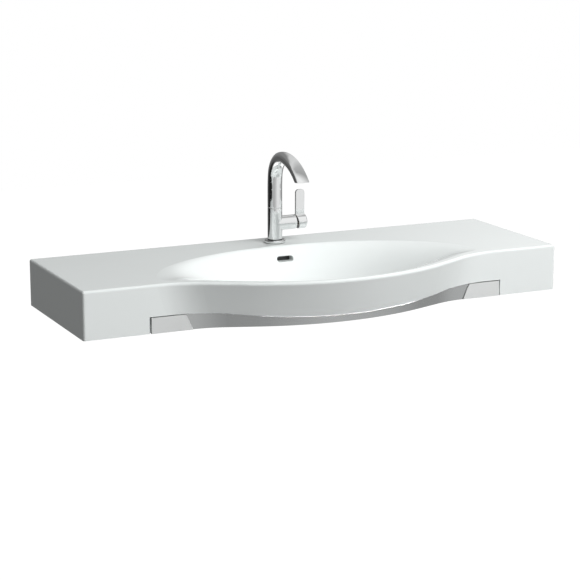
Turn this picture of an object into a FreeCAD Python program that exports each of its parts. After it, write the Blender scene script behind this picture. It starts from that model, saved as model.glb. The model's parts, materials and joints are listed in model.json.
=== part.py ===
import FreeCAD, Part
import Sketcher
import math
import os

# A wall-hung washbasin of glazed ceramic: a straight slab whose front swells into a bowed bowl, with a
# side-lever tap, a push-down waste and a bowed towel rail under the front edge.
# Width runs along X, the front faces -Y and Z is up. The origin lies on the wall, midway between the two
# wall bolts. Lengths are in millimetres.

Vector = FreeCAD.Vector
doc = FreeCAD.newDocument("Washbasin")
sheet = doc.addObject("Spreadsheet::Sheet", "Sizes")

SIZES = {
    # The ceramic slab and its bowed front
    "slab_width": 1200,
    "slab_depth": 380,
    "slab_height": 110,
    "bolt_drop": 60,
    "rim_bulge": 132,
    "rim_half_span": 430,
    "skirt_bulge": 92,
    "skirt_half_span": 395,
    "edge_round": 5.5,
    "foot_round": 2,
    "overrun": 20,
    # Its walls, ribs and holes
    "top_wall": 14,
    "side_wall": 14,
    "apron_wall": 12,
    "rear_wall": 22,
    "rib_wall": 12,
    "seat_wall": 14,
    "wall_bolt_spacing": 280,
    "wall_bolt_hole": 7,
    "tap_distance": 65,
    "tap_hole": 17.5,
    # The bowl
    "bowl_half_width": 400,
    "bowl_setback": 50,
    "bowl_rear": 110,
    "rim_flat": 14,
    "rim_roll": 5,
    "bowl_depth": 100,
    "bowl_wall": 11,
    "drain_setback": 125,
    "drain_hole": 23,
    "drain_boss": 42,
    "drain_boss_depth": 17,
    "drain_seat": 34,
    "drain_seat_depth": 4,
    # The overflow
    "overflow_width": 43,
    "overflow_height": 13,
    "overflow_drop": 30,
    "duct_width": 40,
    "duct_depth": 8,
    "duct_wall": 8,
    "duct_distance": 98,
    "duct_back_fill": 52,
    # The recess for the towel rail
    "recess_half_length": 447,
    "recess_height": 38,
    "recess_setback": 10,
    "lip_dip": 16,
    "lip_dip_half": 300,
    "lip_round": 3,
    "seat_half_gap": 335,
    # The towel rail and its end plates
    "rail_half_length": 443,
    "rail_height": 36,
    "rail_thickness": 5,
    "rail_setback": 0.5,
    "rail_bulge": 76.6,
    "rail_half_span": 350,
    "rail_lean": 2,
    "plate_thickness": 2.6,
    "plate_inner_top": 361,
    "plate_inner_bottom": 345,
    "rail_screw_near": 385,
    "rail_screw_far": 425,
    "rail_screw": 2.5,
    "rail_screw_head": 4.6,
    "rail_screw_head_depth": 2.6,
    "rail_screw_length": 22,
    "insert_radius": 5,
    "insert_flange": 7.5,
    "insert_flange_depth": 1.5,
    "sleeve_radius": 7,
    # The tap's foot and body
    "foot_seal_radius": 25,
    "foot_seal_depth": 1.2,
    "foot_radius": 26,
    "foot_height": 8,
    "foot_step": 2.2,
    "body_radius": 17.8,
    "body_top": 86,
    "shank_radius": 16,
    "shank_drop": 10,
    "running_gap": 0.05,
    "barrel_radius": 17.5,
    "barrel_level": 47,
    "barrel_length": 52.5,
    "barrel_chamfer": 0.8,
    "inlet_radius": 4.5,
    "inlet_depth": 14,
    "inlet_offset": 7.5,
    "inlet_forward": 5,
    "stud_radius": 4,
    "stud_back": 9,
    "stud_engagement": 10,
    "stud_length": 52,
    "clamp_radius": 22,
    "clamp_rubber_depth": 3,
    "clamp_plate_depth": 2.5,
    "clamp_slot_half": 13.5,
    "stud_nut_radius": 7.5,
    "stud_nut_depth": 8,
    # The cartridge in the barrel
    "cartridge_bore": 14,
    "bore_start": 10,
    "port_seal_depth": 1,
    "housing_radius": 13.9,
    "housing_cavity": 11.6,
    "housing_floor": 3,
    "housing_end": 38.4,
    "disc_radius": 11.5,
    "disc_depth": 3.5,
    "disc_gap": 0.1,
    "slider_radius": 7.4,
    "slider_depth": 5.2,
    "port_radius": 2,
    "port_offset": 5,
    "ball_radius": 2.4,
    "ball_pocket": 2.9,
    "pocket_floor": 1.2,
    "carrier_depth": 13.5,
    "carrier_slot_half_width": 4.3,
    "carrier_slot_half_height": 8.6,
    "tilt_pivot": 32,
    "pivot_pin_radius": 1.5,
    "pivot_pin_half": 10.8,
    "neck_radius": 1.8,
    "stem_half": 4,
    "stem_start": 27.5,
    "stem_end": 66,
    "cover_depth": 6.6,
    "cover_opening": 10.2,
    "nut_depth": 6,
    "nut_opening": 11.8,
    # The lever
    "lever_cap_radius": 17.8,
    "lever_cap_end": 80,
    "lever_gap_top": 1.3,
    "lever_gap_bottom": 8.3,
    "lever_cap_round": 2.5,
    "stem_fit": 0.05,
    "socket_extra": 1,
    "paddle_width": 23.5,
    "paddle_start": 54.5,
    "paddle_thickness": 6,
    "paddle_height": 61,
    "paddle_corner": 8,
    "grub_radius": 2.5,
    "grub_length": 8,
    "grub_place": 63,
    "plug_radius": 3.2,
    "plug_depth": 1.6,
    # The spout
    "spout_straight": 44,
    "spout_lean_radius": 324,
    "spout_lean_turn": 6,
    "spout_arch_radius": 55.4,
    "spout_arch_turn": 89,
    "spout_blade_radius": 139.5,
    "spout_blade_turn": 48,
    "spout_outlet_level": 170,
    "flatten_start": 47,
    "flatten_end": 131,
    "blade_half_width": 17.3,
    "blade_half_depth": 7.6,
    "blade_corner": 3.5,
    "slip_ring_depth": 0.6,
    "slip_ring_inset": 0.5,
    "spigot_radius": 13,
    "spigot_length": 20,
    "spigot_fit": 0.15,
    "ring_section": 1.3,
    "ring_proud": 0.1,
    "ring_groove_half": 1.5,
    "ring_groove_depth": 2.5,
    "lower_ring_level": 71,
    "upper_ring_level": 76.5,
    "stop_groove_half": 2.9,
    "stop_groove_depth": 2.2,
    "stop_level": 81.6,
    "stop_screw_radius": 2.5,
    "stop_screw_clearance": 0.5,
    "outlet_pocket_depth": 9,
    "outlet_pocket_half_width": 12.5,
    "outlet_pocket_half_depth": 4.2,
    "outlet_seal_depth": 1.2,
    "outlet_insert_depth": 7,
    "outlet_slot_half_width": 1.1,
    "outlet_slot_half_depth": 2.8,
    "outlet_slot_pitch": 3.6,
    # The waste
    "flange_radius": 32.5,
    "flange_depth": 2.8,
    "flange_seal_depth": 1,
    "tail_radius": 20.95,
    "tail_bore": 17.5,
    "tail_length": 57,
    "tail_relief_drop": 42,
    "tail_relief_depth": 1.2,
    "tail_relief_half": 0.8,
    "window_half_width": 10,
    "window_height": 8,
    "spider_drop": 32,
    "spider_depth": 4,
    "spider_half_width": 2,
    "hub_radius": 6.5,
    "latch_radius": 5.5,
    "latch_rise": 17,
    "latch_bore": 3.2,
    "stem_pin_radius": 3.1,
    "stem_pin_length": 24,
    "collar_radius": 7,
    "collar_depth": 2.5,
    "spring_radius": 8,
    "spring_wire": 0.7,
    "plug_lift": 9,
    "plug_cap_radius": 31,
    "plug_cap_depth": 4,
    "plug_crown": 2,
    "plug_seat_gap": 0.6,
    "plug_ring_radius": 19.5,
    "plug_ring_depth": 2,
    "nut_seal_depth": 3.5,
    "nut_seal_radius": 33,
    "slip_washer_depth": 1,
    "back_nut_radius": 30,
    "back_nut_depth": 9,
}

for row, (name, number) in enumerate(SIZES.items(), start=1):
    sheet.set("A%d" % row, name.replace("_", " "))
    sheet.set("B%d" % row, str(number))
    sheet.setAlias("B%d" % row, name)
doc.recompute()


class Size:
    """A number of the sheet, or a sum of them, together with the expression that gives it."""

    def __init__(self, number, text):
        self.number = float(number)
        self.text = text

    def __float__(self):
        return self.number

    def __add__(self, other):
        return Size(self.number + float(other), "(%s + %s)" % (self.text, words(other)))

    def __sub__(self, other):
        return Size(self.number - float(other), "(%s - %s)" % (self.text, words(other)))

    def __rsub__(self, other):
        return Size(float(other) - self.number, "(%s - %s)" % (words(other), self.text))

    def __mul__(self, other):
        return Size(self.number * float(other), "(%s * %s)" % (self.text, words(other)))

    def __truediv__(self, other):
        return Size(self.number / float(other), "(%s / %s)" % (self.text, words(other)))

    def __neg__(self):
        return Size(-self.number, "(0 - %s)" % self.text)

    __radd__ = __add__
    __rmul__ = __mul__


def words(size):
    """The expression of a size, or the digits of a plain number."""
    return size.text if isinstance(size, Size) else repr(float(size))


class Sizes:
    """Every named size of the sheet, as an attribute."""

    def __init__(self):
        for name in SIZES:
            setattr(self, name, Size(getattr(sheet, name), "Sizes." + name))


S = Sizes()
TOP = S.bolt_drop
FOOT = S.bolt_drop - S.slab_height
TAP_Y = -S.tap_distance
DRAIN_Y = S.drain_setback - S.slab_depth

UPWARD = FreeCAD.Rotation()
RIGHTWARD = FreeCAD.Rotation(Vector(0, 1, 0), 90)
REARWARD = FreeCAD.Rotation(Vector(1, 0, 0), -90)
FORWARD = FreeCAD.Rotation(Vector(1, 0, 0), 90)

# Operations that every piece shares

nodes = []


def keep(thing, node):
    """Names a finished piece and puts it on the list to write."""
    thing.Label = node
    nodes.append(thing)
    return thing


def bind(thing, **sizes):
    """Ties each property to its size in the sheet."""
    for name, size in sizes.items():
        if isinstance(size, Size):
            thing.setExpression(name, size.text)
        else:
            setattr(thing, name, size)


def place(thing, x=0, y=0, z=0, turn=UPWARD):
    """Puts a piece at a spot made of sizes, turned one way."""
    thing.Placement = FreeCAD.Placement(Vector(float(x), float(y), float(z)), turn)
    for axis, size in (("x", x), ("y", y), ("z", z)):
        if isinstance(size, Size):
            thing.setExpression(".Placement.Base." + axis, size.text)
    return thing


def rod(name, radius, length, *spot):
    """A round bar."""
    thing = doc.addObject("Part::Cylinder", name)
    bind(thing, Radius=radius, Height=length)
    return place(thing, *spot)


def block(name, length, width, height, *spot):
    """A square-edged block, from its lowest corner."""
    thing = doc.addObject("Part::Box", name)
    bind(thing, Length=length, Width=width, Height=height)
    return place(thing, *spot)


def ball(name, radius, *spot):
    """A sphere."""
    thing = doc.addObject("Part::Sphere", name)
    bind(thing, Radius=radius)
    return place(thing, *spot)


def cut(name, base, *tools):
    """The base with every tool taken away."""
    for number, tool in enumerate(tools):
        less = doc.addObject("Part::Cut", "%s_cut%d" % (name, number))
        less.Base = base
        less.Tool = tool
        base = less
    return base


def join(name, *things):
    """All the things made one solid."""
    thing = doc.addObject("Part::MultiFuse", name)
    thing.Shapes = list(things)
    thing.Refine = True
    return thing


def group(name, *things):
    """Separate solids that share a node."""
    thing = doc.addObject("Part::Compound", name)
    thing.Links = list(things)
    return thing


def sketch_in(body, plane):
    """An empty sketch on one of the body's own planes."""
    sketch = body.newObject("Sketcher::SketchObject", body.Name + "_profile")
    base = next(feature for feature in body.Origin.OriginFeatures if feature.Role == plane)
    sketch.AttachmentSupport = [(base, "")]
    sketch.MapMode = "FlatFace"
    return sketch


def draw(sketch, corners):
    """Joins corners by straight lines, each corner held by two sizes of the sheet."""
    first = sketch.GeometryCount
    spots = [Vector(float(across), float(along), 0) for across, along in corners]
    for start, end in zip(spots, spots[1:] + spots[:1]):
        sketch.addGeometry(Part.LineSegment(start, end))
    for number in range(len(corners)):
        follower = first + (number + 1) % len(corners)
        sketch.addConstraint(Sketcher.Constraint("Coincident", first + number, 2, follower, 1))
    for number, corner in enumerate(corners):
        for kind, size, axis in (("DistanceX", corner[0], -2), ("DistanceY", corner[1], -1)):
            if isinstance(size, Size):
                rule = Sketcher.Constraint(kind, -1, 1, first + number, 1, float(size))
                sketch.setExpression("Constraints[%d]" % sketch.addConstraint(rule), size.text)
            else:
                sketch.addConstraint(Sketcher.Constraint("PointOnObject", first + number, 1, axis))


def turned(name, profile, *spot):
    """A piece turned on a lathe, from its profile of radius and height."""
    body = doc.addObject("PartDesign::Body", name)
    sketch = sketch_in(body, "XZ_Plane")
    draw(sketch, profile)
    feature = body.newObject("PartDesign::Revolution", name + "_turning")
    feature.Profile = sketch
    feature.ReferenceAxis = (sketch, ["V_Axis"])
    feature.Angle = 360
    return place(body, *spot)


def ring(name, inner, outer, depth, *spot):
    """A flat ring or a tube."""
    return turned(name, [(inner, 0), (outer, 0), (outer, depth), (inner, depth)], *spot)


def slab(name, plane, outline, depth, *spot):
    """A plate of one thickness, from its outline on a plane."""
    body = doc.addObject("PartDesign::Body", name)
    sketch = sketch_in(body, plane)
    draw(sketch, outline)
    feature = body.newObject("PartDesign::Pad", name + "_pad")
    feature.Profile = sketch
    bind(feature, Length=depth)
    return place(body, *spot)


def shape(name, made):
    """A shape that Part's own functions made."""
    thing = doc.addObject("Part::Feature", name)
    thing.Shape = made
    return thing


def loft(name, wires, ruled=False):
    """A solid through closed wires."""
    thing = doc.addObject("Part::Loft", name)
    thing.Sections = [shape("%s_section%d" % (name, number), wire) for number, wire in enumerate(wires)]
    thing.Solid = True
    thing.Ruled = ruled
    return thing


def rounded(name, base, radius, choose):
    """The base with the chosen edges rounded."""
    doc.recompute()
    thing = doc.addObject("Part::Fillet", name)
    thing.Base = base
    chosen = [number for number, edge in enumerate(base.Shape.Edges, start=1) if choose(edge)]
    thing.Edges = [(number, float(radius), float(radius)) for number in chosen]
    return thing


# The bowed front: a crown arc, two straight flanks and two feet, all tangent

FLANK_SHARE = 0.83
FOOT_SHARE = 0.28


class Bow:
    """A front line that swells by a bulge over a half span, a given distance in front of the wall."""

    def __init__(self, front, bulge, half_span):
        self.front = float(front)
        self.bulge = float(bulge)
        self.half_span = float(half_span)
        self.turn = FLANK_SHARE * 2 * math.atan(self.bulge / self.half_span)
        both = (self.half_span * math.tan(self.turn) - self.bulge) / (1 / math.cos(self.turn) - 1)
        self.foot = FOOT_SHARE * both
        self.crown = both - self.foot

    def height_at(self, x):
        """How far the line stands in front of the straight slab at x."""
        x = abs(x)
        if x >= self.half_span:
            return 0
        if x <= self.crown * math.sin(self.turn):
            return self.bulge - self.crown + math.sqrt(self.crown**2 - x**2)
        if x >= self.half_span - self.foot * math.sin(self.turn):
            return self.foot - math.sqrt(self.foot**2 - (self.half_span - x) ** 2)
        return (self.half_span - x) * math.tan(self.turn) - self.foot * (1 / math.cos(self.turn) - 1)

    def edges(self, z, half_length, inset=0):
        """The line's seven edges from left to right, moved inward by an inset."""
        inset = float(inset)
        crown = self.crown - inset
        foot = self.foot + inset
        middle = self.front + self.bulge - self.crown
        heel = self.front + self.foot

        def spot(x, out):
            return Vector(x, -out, float(z))

        def crown_spot(turn):
            return spot(crown * math.sin(turn), middle + crown * math.cos(turn))

        def foot_spot(turn, side):
            return spot(side * (self.half_span - foot * math.sin(turn)), heel - foot * math.cos(turn))

        ends = [spot(side * float(half_length), self.front - inset) for side in (-1, 1)]
        left = [foot_spot(turn, -1) for turn in (0, self.turn / 2, self.turn)]
        right = [foot_spot(turn, 1) for turn in (self.turn, self.turn / 2, 0)]
        top = [crown_spot(turn) for turn in (-self.turn, 0, self.turn)]
        return [
            Part.makeLine(ends[0], left[0]),
            Part.Arc(*left).toShape(),
            Part.makeLine(left[2], top[0]),
            Part.Arc(*top).toShape(),
            Part.makeLine(top[2], right[0]),
            Part.Arc(*right).toShape(),
            Part.makeLine(right[2], ends[1]),
        ]


def slab_outline(bow, z, side_inset, front_inset, rear_inset):
    """The slab seen from above: the bowed front, two sides and the straight rear."""
    half_length = float(S.slab_width / 2 - side_inset)
    edges = bow.edges(z, half_length, front_inset)
    rear_right = Vector(half_length, -float(rear_inset), float(z))
    rear_left = Vector(-half_length, -float(rear_inset), float(z))
    front_left = edges[0].Vertexes[0].Point
    front_right = edges[-1].Vertexes[-1].Point
    edges.append(Part.makeLine(front_right, rear_right))
    edges.append(Part.makeLine(rear_right, rear_left))
    edges.append(Part.makeLine(rear_left, front_left))
    return Part.Wire(edges)


def apron_bow(drop):
    """The apron's front line at a drop below the slab's top: it draws in evenly on the way down."""
    share = float(drop) / float(S.slab_height)
    bulge = S.rim_bulge + (S.skirt_bulge - S.rim_bulge) * share
    return Bow(S.slab_depth, bulge, S.rim_half_span + (S.skirt_half_span - S.rim_half_span) * share)


rim_bow = apron_bow(0)

# The bowl, as level sections. Each row gives shares of the bowl's depth, half width and of the distances
# from the drain to the rear and the front rim, and then the share of the rolled rim that opens it out.

BOWL_LEVEL_SHARES = [
    (-0.03, 1.150, 1.006, 1.000, 1.00),
    (0.000, 1.000, 1.000, 1.000, 0.70),
    (0.010, 0.960, 0.995, 0.998, 0.35),
    (0.030, 0.915, 0.988, 0.992, 0.12),
    (0.080, 0.850, 0.972, 0.975, 0.00),
    (0.200, 0.760, 0.938, 0.945, 0.00),
    (0.450, 0.625, 0.850, 0.860, 0.00),
    (0.700, 0.500, 0.735, 0.710, 0.00),
    (0.880, 0.375, 0.590, 0.530, 0.00),
    (0.970, 0.270, 0.440, 0.360, 0.00),
    (1.000, 0.170, 0.290, 0.220, 0.00),
]
BOWL_OUTSIDE_LEVELS = BOWL_LEVEL_SHARES[3:]
WALL_OUT_SHARE = 0.75
WALL_DOWN_SHARE = 0.85
BOWL_POINTS = 28
REAR_FULLNESS_SHARE = 1.12
FRONT_FULLNESS_SHARE = 0.45


def bowl_outline(level, grow=0, drop=0):
    """One closed level of the bowl, grown outward and dropped by its wall where it is the underside."""
    depth, width, rear, front, roll = level
    grow = float(grow) + roll * float(S.rim_roll)
    half_width = width * float(S.bowl_half_width)
    drain = -float(DRAIN_Y)
    middle = drain + float(S.drain_setback - S.bowl_setback) * width
    rear_line = drain - (drain - float(S.bowl_rear)) * rear
    z = float(TOP) - depth * float(S.bowl_depth) - float(drop)
    spots = []
    for number in range(BOWL_POINTS):
        angle = 2 * math.pi * number / BOWL_POINTS
        across = math.cos(angle)
        if math.sin(angle) >= 0:
            out = middle - (middle - rear_line + grow) * math.sin(angle) ** REAR_FULLNESS_SHARE
        else:
            rim_line = rim_bow.front + rim_bow.height_at(float(S.bowl_half_width) * across)
            front_line = drain + (rim_line - float(S.rim_flat) - drain) * front
            out = middle + (front_line - middle + grow) * (-math.sin(angle)) ** FRONT_FULLNESS_SHARE
        spots.append(Vector((half_width + grow) * across, -out, z))
    curve = Part.BSplineCurve()
    curve.interpolate(spots, PeriodicFlag=True)
    return Part.Wire([curve.toShape()])


# Basin: one casting, open underneath, with the bowl, the overflow duct and the recess for the rail


def is_upper_edge(edge):
    """The outer slab's top and upright edges, which the glaze leaves soft."""
    box = edge.BoundBox
    middle = TOP - S.slab_height / 2
    upright = box.ZLength > float(S.slab_height) / 2 and abs(box.Center.x) > float(S.rim_half_span)
    return box.ZMin > float(middle) or upright


def is_lip_edge(edge):
    """The apron's lower front edge, where it dips over the towel rail."""
    middle = edge.valueAt((edge.FirstParameter + edge.LastParameter) / 2)
    roof = float(FOOT + S.recess_height)
    front = apron_bow(float(TOP) - middle.z)
    low_enough = roof - float(S.lip_dip + S.foot_round) < middle.z < roof
    outside = -middle.y > front.front + front.height_at(middle.x) - float(S.foot_round)
    return low_enough and outside and abs(middle.x) < float(S.lip_dip_half)


def basin_slab():
    outer = loft(
        "slab_loft",
        [slab_outline(rim_bow, TOP, 0, 0, 0), slab_outline(apron_bow(S.slab_height), FOOT, 0, 0, 0)],
        ruled=True,
    )
    return rounded("slab_rounded", outer, S.edge_round, is_upper_edge)


def basin_hollow():
    """The space under the slab, less what stays standing in it."""
    roof = TOP - S.top_wall
    low = FOOT - S.overrun
    space = loft(
        "hollow_loft",
        [
            slab_outline(apron_bow(S.top_wall), roof, S.side_wall, S.apron_wall, S.rear_wall),
            slab_outline(apron_bow(TOP - low), low, S.side_wall, S.apron_wall, S.rear_wall),
        ],
        ruled=True,
    )
    kept = []
    depth = S.slab_depth - S.side_wall / 2 - S.rear_wall / 2
    height = S.slab_height - S.top_wall / 2
    for side, name in ((-1, "left"), (1, "right")):
        rib_x = S.recess_half_length if side > 0 else -(S.recess_half_length + S.rib_wall)
        kept.append(
            block(name + "_rib", S.rib_wall, depth, height, rib_x, -(depth + S.rear_wall / 2), FOOT)
        )
        seat_length = S.recess_half_length - S.seat_half_gap + S.rib_wall / 2
        seat_x = S.seat_half_gap if side > 0 else -(S.recess_half_length + S.rib_wall / 2)
        seat_y = -(S.slab_depth - S.recess_setback / 2)
        seat_depth = S.seat_wall + S.recess_setback / 2
        kept.append(block(name + "_seat", seat_length, seat_depth, height, seat_x, seat_y, FOOT))
    return cut("hollow", space, *kept)


def bowl_underside():
    out = S.bowl_wall * WALL_OUT_SHARE
    down = S.bowl_wall * WALL_DOWN_SHARE
    return loft("bowl_underside", [bowl_outline(level, out, down) for level in BOWL_OUTSIDE_LEVELS])


def drain_boss():
    height = S.drain_boss_depth + S.bowl_wall
    return rod("drain_boss", S.drain_boss, height, 0, DRAIN_Y, TOP - S.bowl_depth - height)


def overflow_walls():
    """The casting's duct: a box down the back of the bowl and a foot along its underside."""
    half = S.duct_width / 2 + S.duct_wall
    floor = TOP - S.bowl_depth - S.drain_boss_depth - S.bowl_wall
    rear = S.duct_distance - S.duct_wall
    upright_depth = S.duct_back_fill + S.duct_wall
    upright = block(
        "duct_upright",
        half * 2,
        upright_depth,
        TOP - S.top_wall / 2 - floor,
        -half,
        -(rear + upright_depth),
        floor,
    )
    foot_length = -DRAIN_Y - rear
    foot_height = S.drain_boss_depth + S.bowl_wall / 2
    foot = block("duct_foot", half * 2, foot_length, foot_height, -half, DRAIN_Y, floor)
    return upright, foot


def overflow_ways():
    """The duct's own space, and the slot that opens it to the bowl."""
    half = S.duct_width / 2
    floor = TOP - S.bowl_depth - S.drain_boss_depth - S.bowl_wall + S.duct_wall
    slot_level = TOP - S.overflow_drop
    slot_radius = S.overflow_height / 2
    down = block(
        "duct_down",
        S.duct_width,
        S.duct_depth,
        slot_level + slot_radius - floor,
        -half,
        -(S.duct_distance + S.duct_depth),
        floor,
    )
    along = block(
        "duct_along",
        S.duct_width,
        -DRAIN_Y - S.duct_distance,
        S.duct_depth,
        -half,
        DRAIN_Y,
        floor,
    )
    reach = S.duct_depth / 2 + S.overrun * 2
    start = -(S.duct_distance + S.duct_depth / 2)
    end_x = S.overflow_width / 2 - slot_radius
    slot_middle = block(
        "slot_middle", end_x * 2, reach, S.overflow_height, -end_x, start - reach, slot_level - slot_radius
    )
    slot_left = rod("slot_left", slot_radius, reach, -end_x, start, slot_level, FORWARD)
    slot_right = rod("slot_right", slot_radius, reach, end_x, start, slot_level, FORWARD)
    return down, along, slot_middle, slot_left, slot_right


def rail_recess():
    """The shadow gap under the apron: its roof dips in one long arc under the bowl."""
    roof = FOOT + S.recess_height
    low = FOOT - S.overrun
    dip = roof - S.lip_dip
    back = -(S.slab_depth - S.recess_setback)
    depth = S.rim_bulge + S.overrun + S.recess_setback

    def spot(x, z):
        return Vector(float(x), float(back), float(z))

    half = S.recess_half_length
    dip_half = S.lip_dip_half
    arc = Part.Arc(spot(-dip_half, roof), spot(0, dip), spot(dip_half, roof)).toShape()
    corners = [(dip_half, roof), (half, roof), (half, low), (-half, low), (-half, roof), (-dip_half, roof)]
    walls = Part.makePolygon([spot(x, z) for x, z in corners])
    face = shape("recess_face", Part.Face(Part.Wire([arc] + walls.Edges)))
    thing = doc.addObject("Part::Extrusion", "rail_recess")
    thing.Base = face
    thing.Dir = Vector(0, -1, 0)
    thing.Solid = True
    bind(thing, LengthFwd=depth)
    return thing


def screw_places():
    """Where the rail's screws pass, level with the middle of the bar."""
    level = FOOT + S.rail_height / 2
    for x in (S.rail_screw_near, S.rail_screw_far):
        yield x, level
        yield -x, level


def basin():
    up_reach = S.top_wall + S.overrun
    rear_reach = S.rear_wall + S.overrun
    seat_reach = S.seat_wall + S.overrun
    lipped = rounded("soft_lip", cut("notched", basin_slab(), rail_recess()), S.lip_round, is_lip_edge)
    hollowed = cut("hollowed", lipped, basin_hollow())
    casting = join("casting", hollowed, bowl_underside(), drain_boss(), *overflow_walls())
    bowl = loft("bowl_space", [bowl_outline(level) for level in BOWL_LEVEL_SHARES])
    drain_reach = S.bowl_depth + S.overrun
    drain = rod("drain_way", S.drain_hole, drain_reach, 0, DRAIN_Y, TOP - S.bowl_depth - drain_reach)
    seat_level = TOP - S.bowl_depth - S.drain_seat_depth
    seat = rod("drain_recess", S.drain_seat, S.drain_seat_depth + S.foot_round, 0, DRAIN_Y, seat_level)
    tap = rod("tap_way", S.tap_hole, up_reach, 0, TAP_Y, TOP - up_reach + S.foot_round)
    ways = [bowl, drain, seat, tap, rail_recess(), *overflow_ways()]
    for side in (-1, 1):
        x = S.wall_bolt_spacing / 2 * side
        ways.append(rod("wall_bolt_way", S.wall_bolt_hole, rear_reach, x, S.foot_round, 0, FORWARD))
    for x, level in screw_places():
        front = -(S.slab_depth - S.recess_setback + S.foot_round)
        ways.append(rod("insert_way", S.insert_radius, seat_reach, x, front, level, REARWARD))
    return keep(cut("basin", casting, *ways), "basin")


# Towel rail: a flat chromed bar bent to its own bow, leaning out a little towards its top


def rail_band(bow, z):
    """The bar seen from above at one level: its front line, its rear line and two square ends."""
    front = bow.edges(z, S.rail_half_length)
    rear = bow.edges(z, S.rail_half_length, S.rail_thickness)
    right = Part.makeLine(front[-1].Vertexes[-1].Point, rear[-1].Vertexes[-1].Point)
    left = Part.makeLine(rear[0].Vertexes[0].Point, front[0].Vertexes[0].Point)
    return Part.Wire(front + [right] + rear[::-1] + [left])


def towel_rail():
    front = S.slab_depth - S.rail_setback
    foot_bow = Bow(front, S.rail_bulge, S.rail_half_span)
    head_bow = Bow(front, S.rail_bulge + S.rail_lean, S.rail_half_span)
    bar = loft("rail_bar", [rail_band(foot_bow, FOOT), rail_band(head_bow, FOOT + S.rail_height)], ruled=True)
    ways = []
    for x, level in screw_places():
        start = -(front + S.overrun)
        reach = S.rail_thickness + S.overrun * 2
        ways.append(rod("rail_screw_way", S.rail_screw + S.running_gap, reach, x, start, level, REARWARD))
        head = rod("rail_head_way", S.rail_screw_head + S.running_gap, S.overrun, x, start, level, REARWARD)
        bind(head, Height=S.overrun + S.rail_screw_head_depth)
        ways.append(head)
    return keep(cut("towel_rail", bar, *ways), "towel_rail")


def end_plates():
    """Slanted cover plates that hide the screws at each end of the rail."""
    for side, name in ((-1, "left"), (1, "right")):
        outline = [
            (S.rail_half_length * side, FOOT),
            (S.plate_inner_bottom * side, FOOT),
            (S.plate_inner_top * side, FOOT + S.rail_height),
            (S.rail_half_length * side, FOOT + S.rail_height),
        ]
        front = -(S.slab_depth - S.rail_setback)
        plate = slab(name + "_plate", "XZ_Plane", outline, S.plate_thickness, 0, front)
        keep(plate, "rail_end_plate_" + name)


def rail_fixings():
    """Four screws, with a sleeve between the bar and the ceramic and an insert in the ceramic."""
    screws, sleeves, inserts = [], [], []
    bar_front = S.slab_depth - S.rail_setback
    bar_rear = bar_front - S.rail_thickness
    seat = S.slab_depth - S.recess_setback
    flange = S.insert_flange_depth
    for number, (x, level) in enumerate(screw_places()):
        profile = [
            (0, 0),
            (S.rail_screw_head, 0),
            (S.rail_screw_head, S.rail_screw_head_depth),
            (S.rail_screw, S.rail_screw_head_depth),
            (S.rail_screw, S.rail_screw_length),
            (0, S.rail_screw_length),
        ]
        screws.append(turned("rail_screw%d" % number, profile, x, -bar_front, level, REARWARD))
        bore = S.rail_screw + S.running_gap
        depth = bar_rear - seat - flange
        sleeves.append(
            ring("rail_sleeve%d" % number, bore, S.sleeve_radius, depth, x, -bar_rear, level, REARWARD)
        )
        profile = [
            (bore, 0),
            (S.insert_flange, 0),
            (S.insert_flange, flange),
            (S.insert_radius - S.running_gap, flange),
            (S.insert_radius - S.running_gap, flange + S.seat_wall),
            (bore, flange + S.seat_wall),
        ]
        inserts.append(turned("rail_insert%d" % number, profile, x, -(seat + flange), level, REARWARD))
    keep(group("rail_screw_group", *screws), "rail_screws")
    keep(group("rail_sleeve_group", *sleeves), "rail_sleeves")
    keep(group("rail_insert_group", *inserts), "rail_inserts")


# Tap foot and body


def tap_foot():
    bore = S.shank_radius + S.running_gap
    keep(ring("foot_seal", bore, S.foot_seal_radius, S.foot_seal_depth, 0, TAP_Y, TOP), "tap_base_seal")
    height = S.foot_height - S.foot_seal_depth
    profile = [
        (bore, 0),
        (S.foot_radius, 0),
        (S.foot_radius, height - S.foot_step),
        (S.foot_radius - S.foot_step, height),
        (bore, height),
    ]
    keep(turned("foot_ring", profile, 0, TAP_Y, TOP + S.foot_seal_depth), "tap_base_ring")


def tap_body():
    foot = TOP + S.foot_height
    column = rod("column", S.body_radius, S.body_top - S.foot_height, 0, TAP_Y, foot)
    shank = rod("shank", S.shank_radius, S.foot_height + S.shank_drop, 0, TAP_Y, TOP - S.shank_drop)
    profile = [
        (0, 0),
        (S.barrel_radius, 0),
        (S.barrel_radius, S.barrel_length - S.barrel_chamfer),
        (S.barrel_radius - S.barrel_chamfer, S.barrel_length),
        (0, S.barrel_length),
    ]
    barrel = turned("barrel", profile, 0, TAP_Y, TOP + S.barrel_level, RIGHTWARD)
    solid = join("body_solid", column, shank, barrel)
    bore = rod(
        "barrel_bore", S.cartridge_bore, S.barrel_length, S.bore_start, TAP_Y, TOP + S.barrel_level, RIGHTWARD
    )
    socket_floor = TOP + S.body_top - S.spigot_length
    socket = rod("spout_socket", S.spigot_radius + S.spigot_fit, S.overrun * 2, 0, TAP_Y, socket_floor)
    floor = TOP - S.shank_drop - S.overrun
    ways = [bore, socket]
    for side in (-1, 1):
        x = S.inlet_offset * side
        y = TAP_Y - S.inlet_forward
        ways.append(rod("inlet_way", S.inlet_radius, S.inlet_depth + S.overrun, x, y, floor))
    stud_reach = S.stud_engagement + S.overrun
    ways.append(rod("stud_way", S.stud_radius + S.running_gap, stud_reach, 0, TAP_Y + S.stud_back, floor))
    stop_bore = S.stop_screw_radius + S.running_gap
    ways.append(rod("stop_way", stop_bore, S.body_radius, 0, TAP_Y, TOP + S.stop_level, REARWARD))
    return keep(cut("tap_body", solid, *ways), "tap_body")


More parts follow.
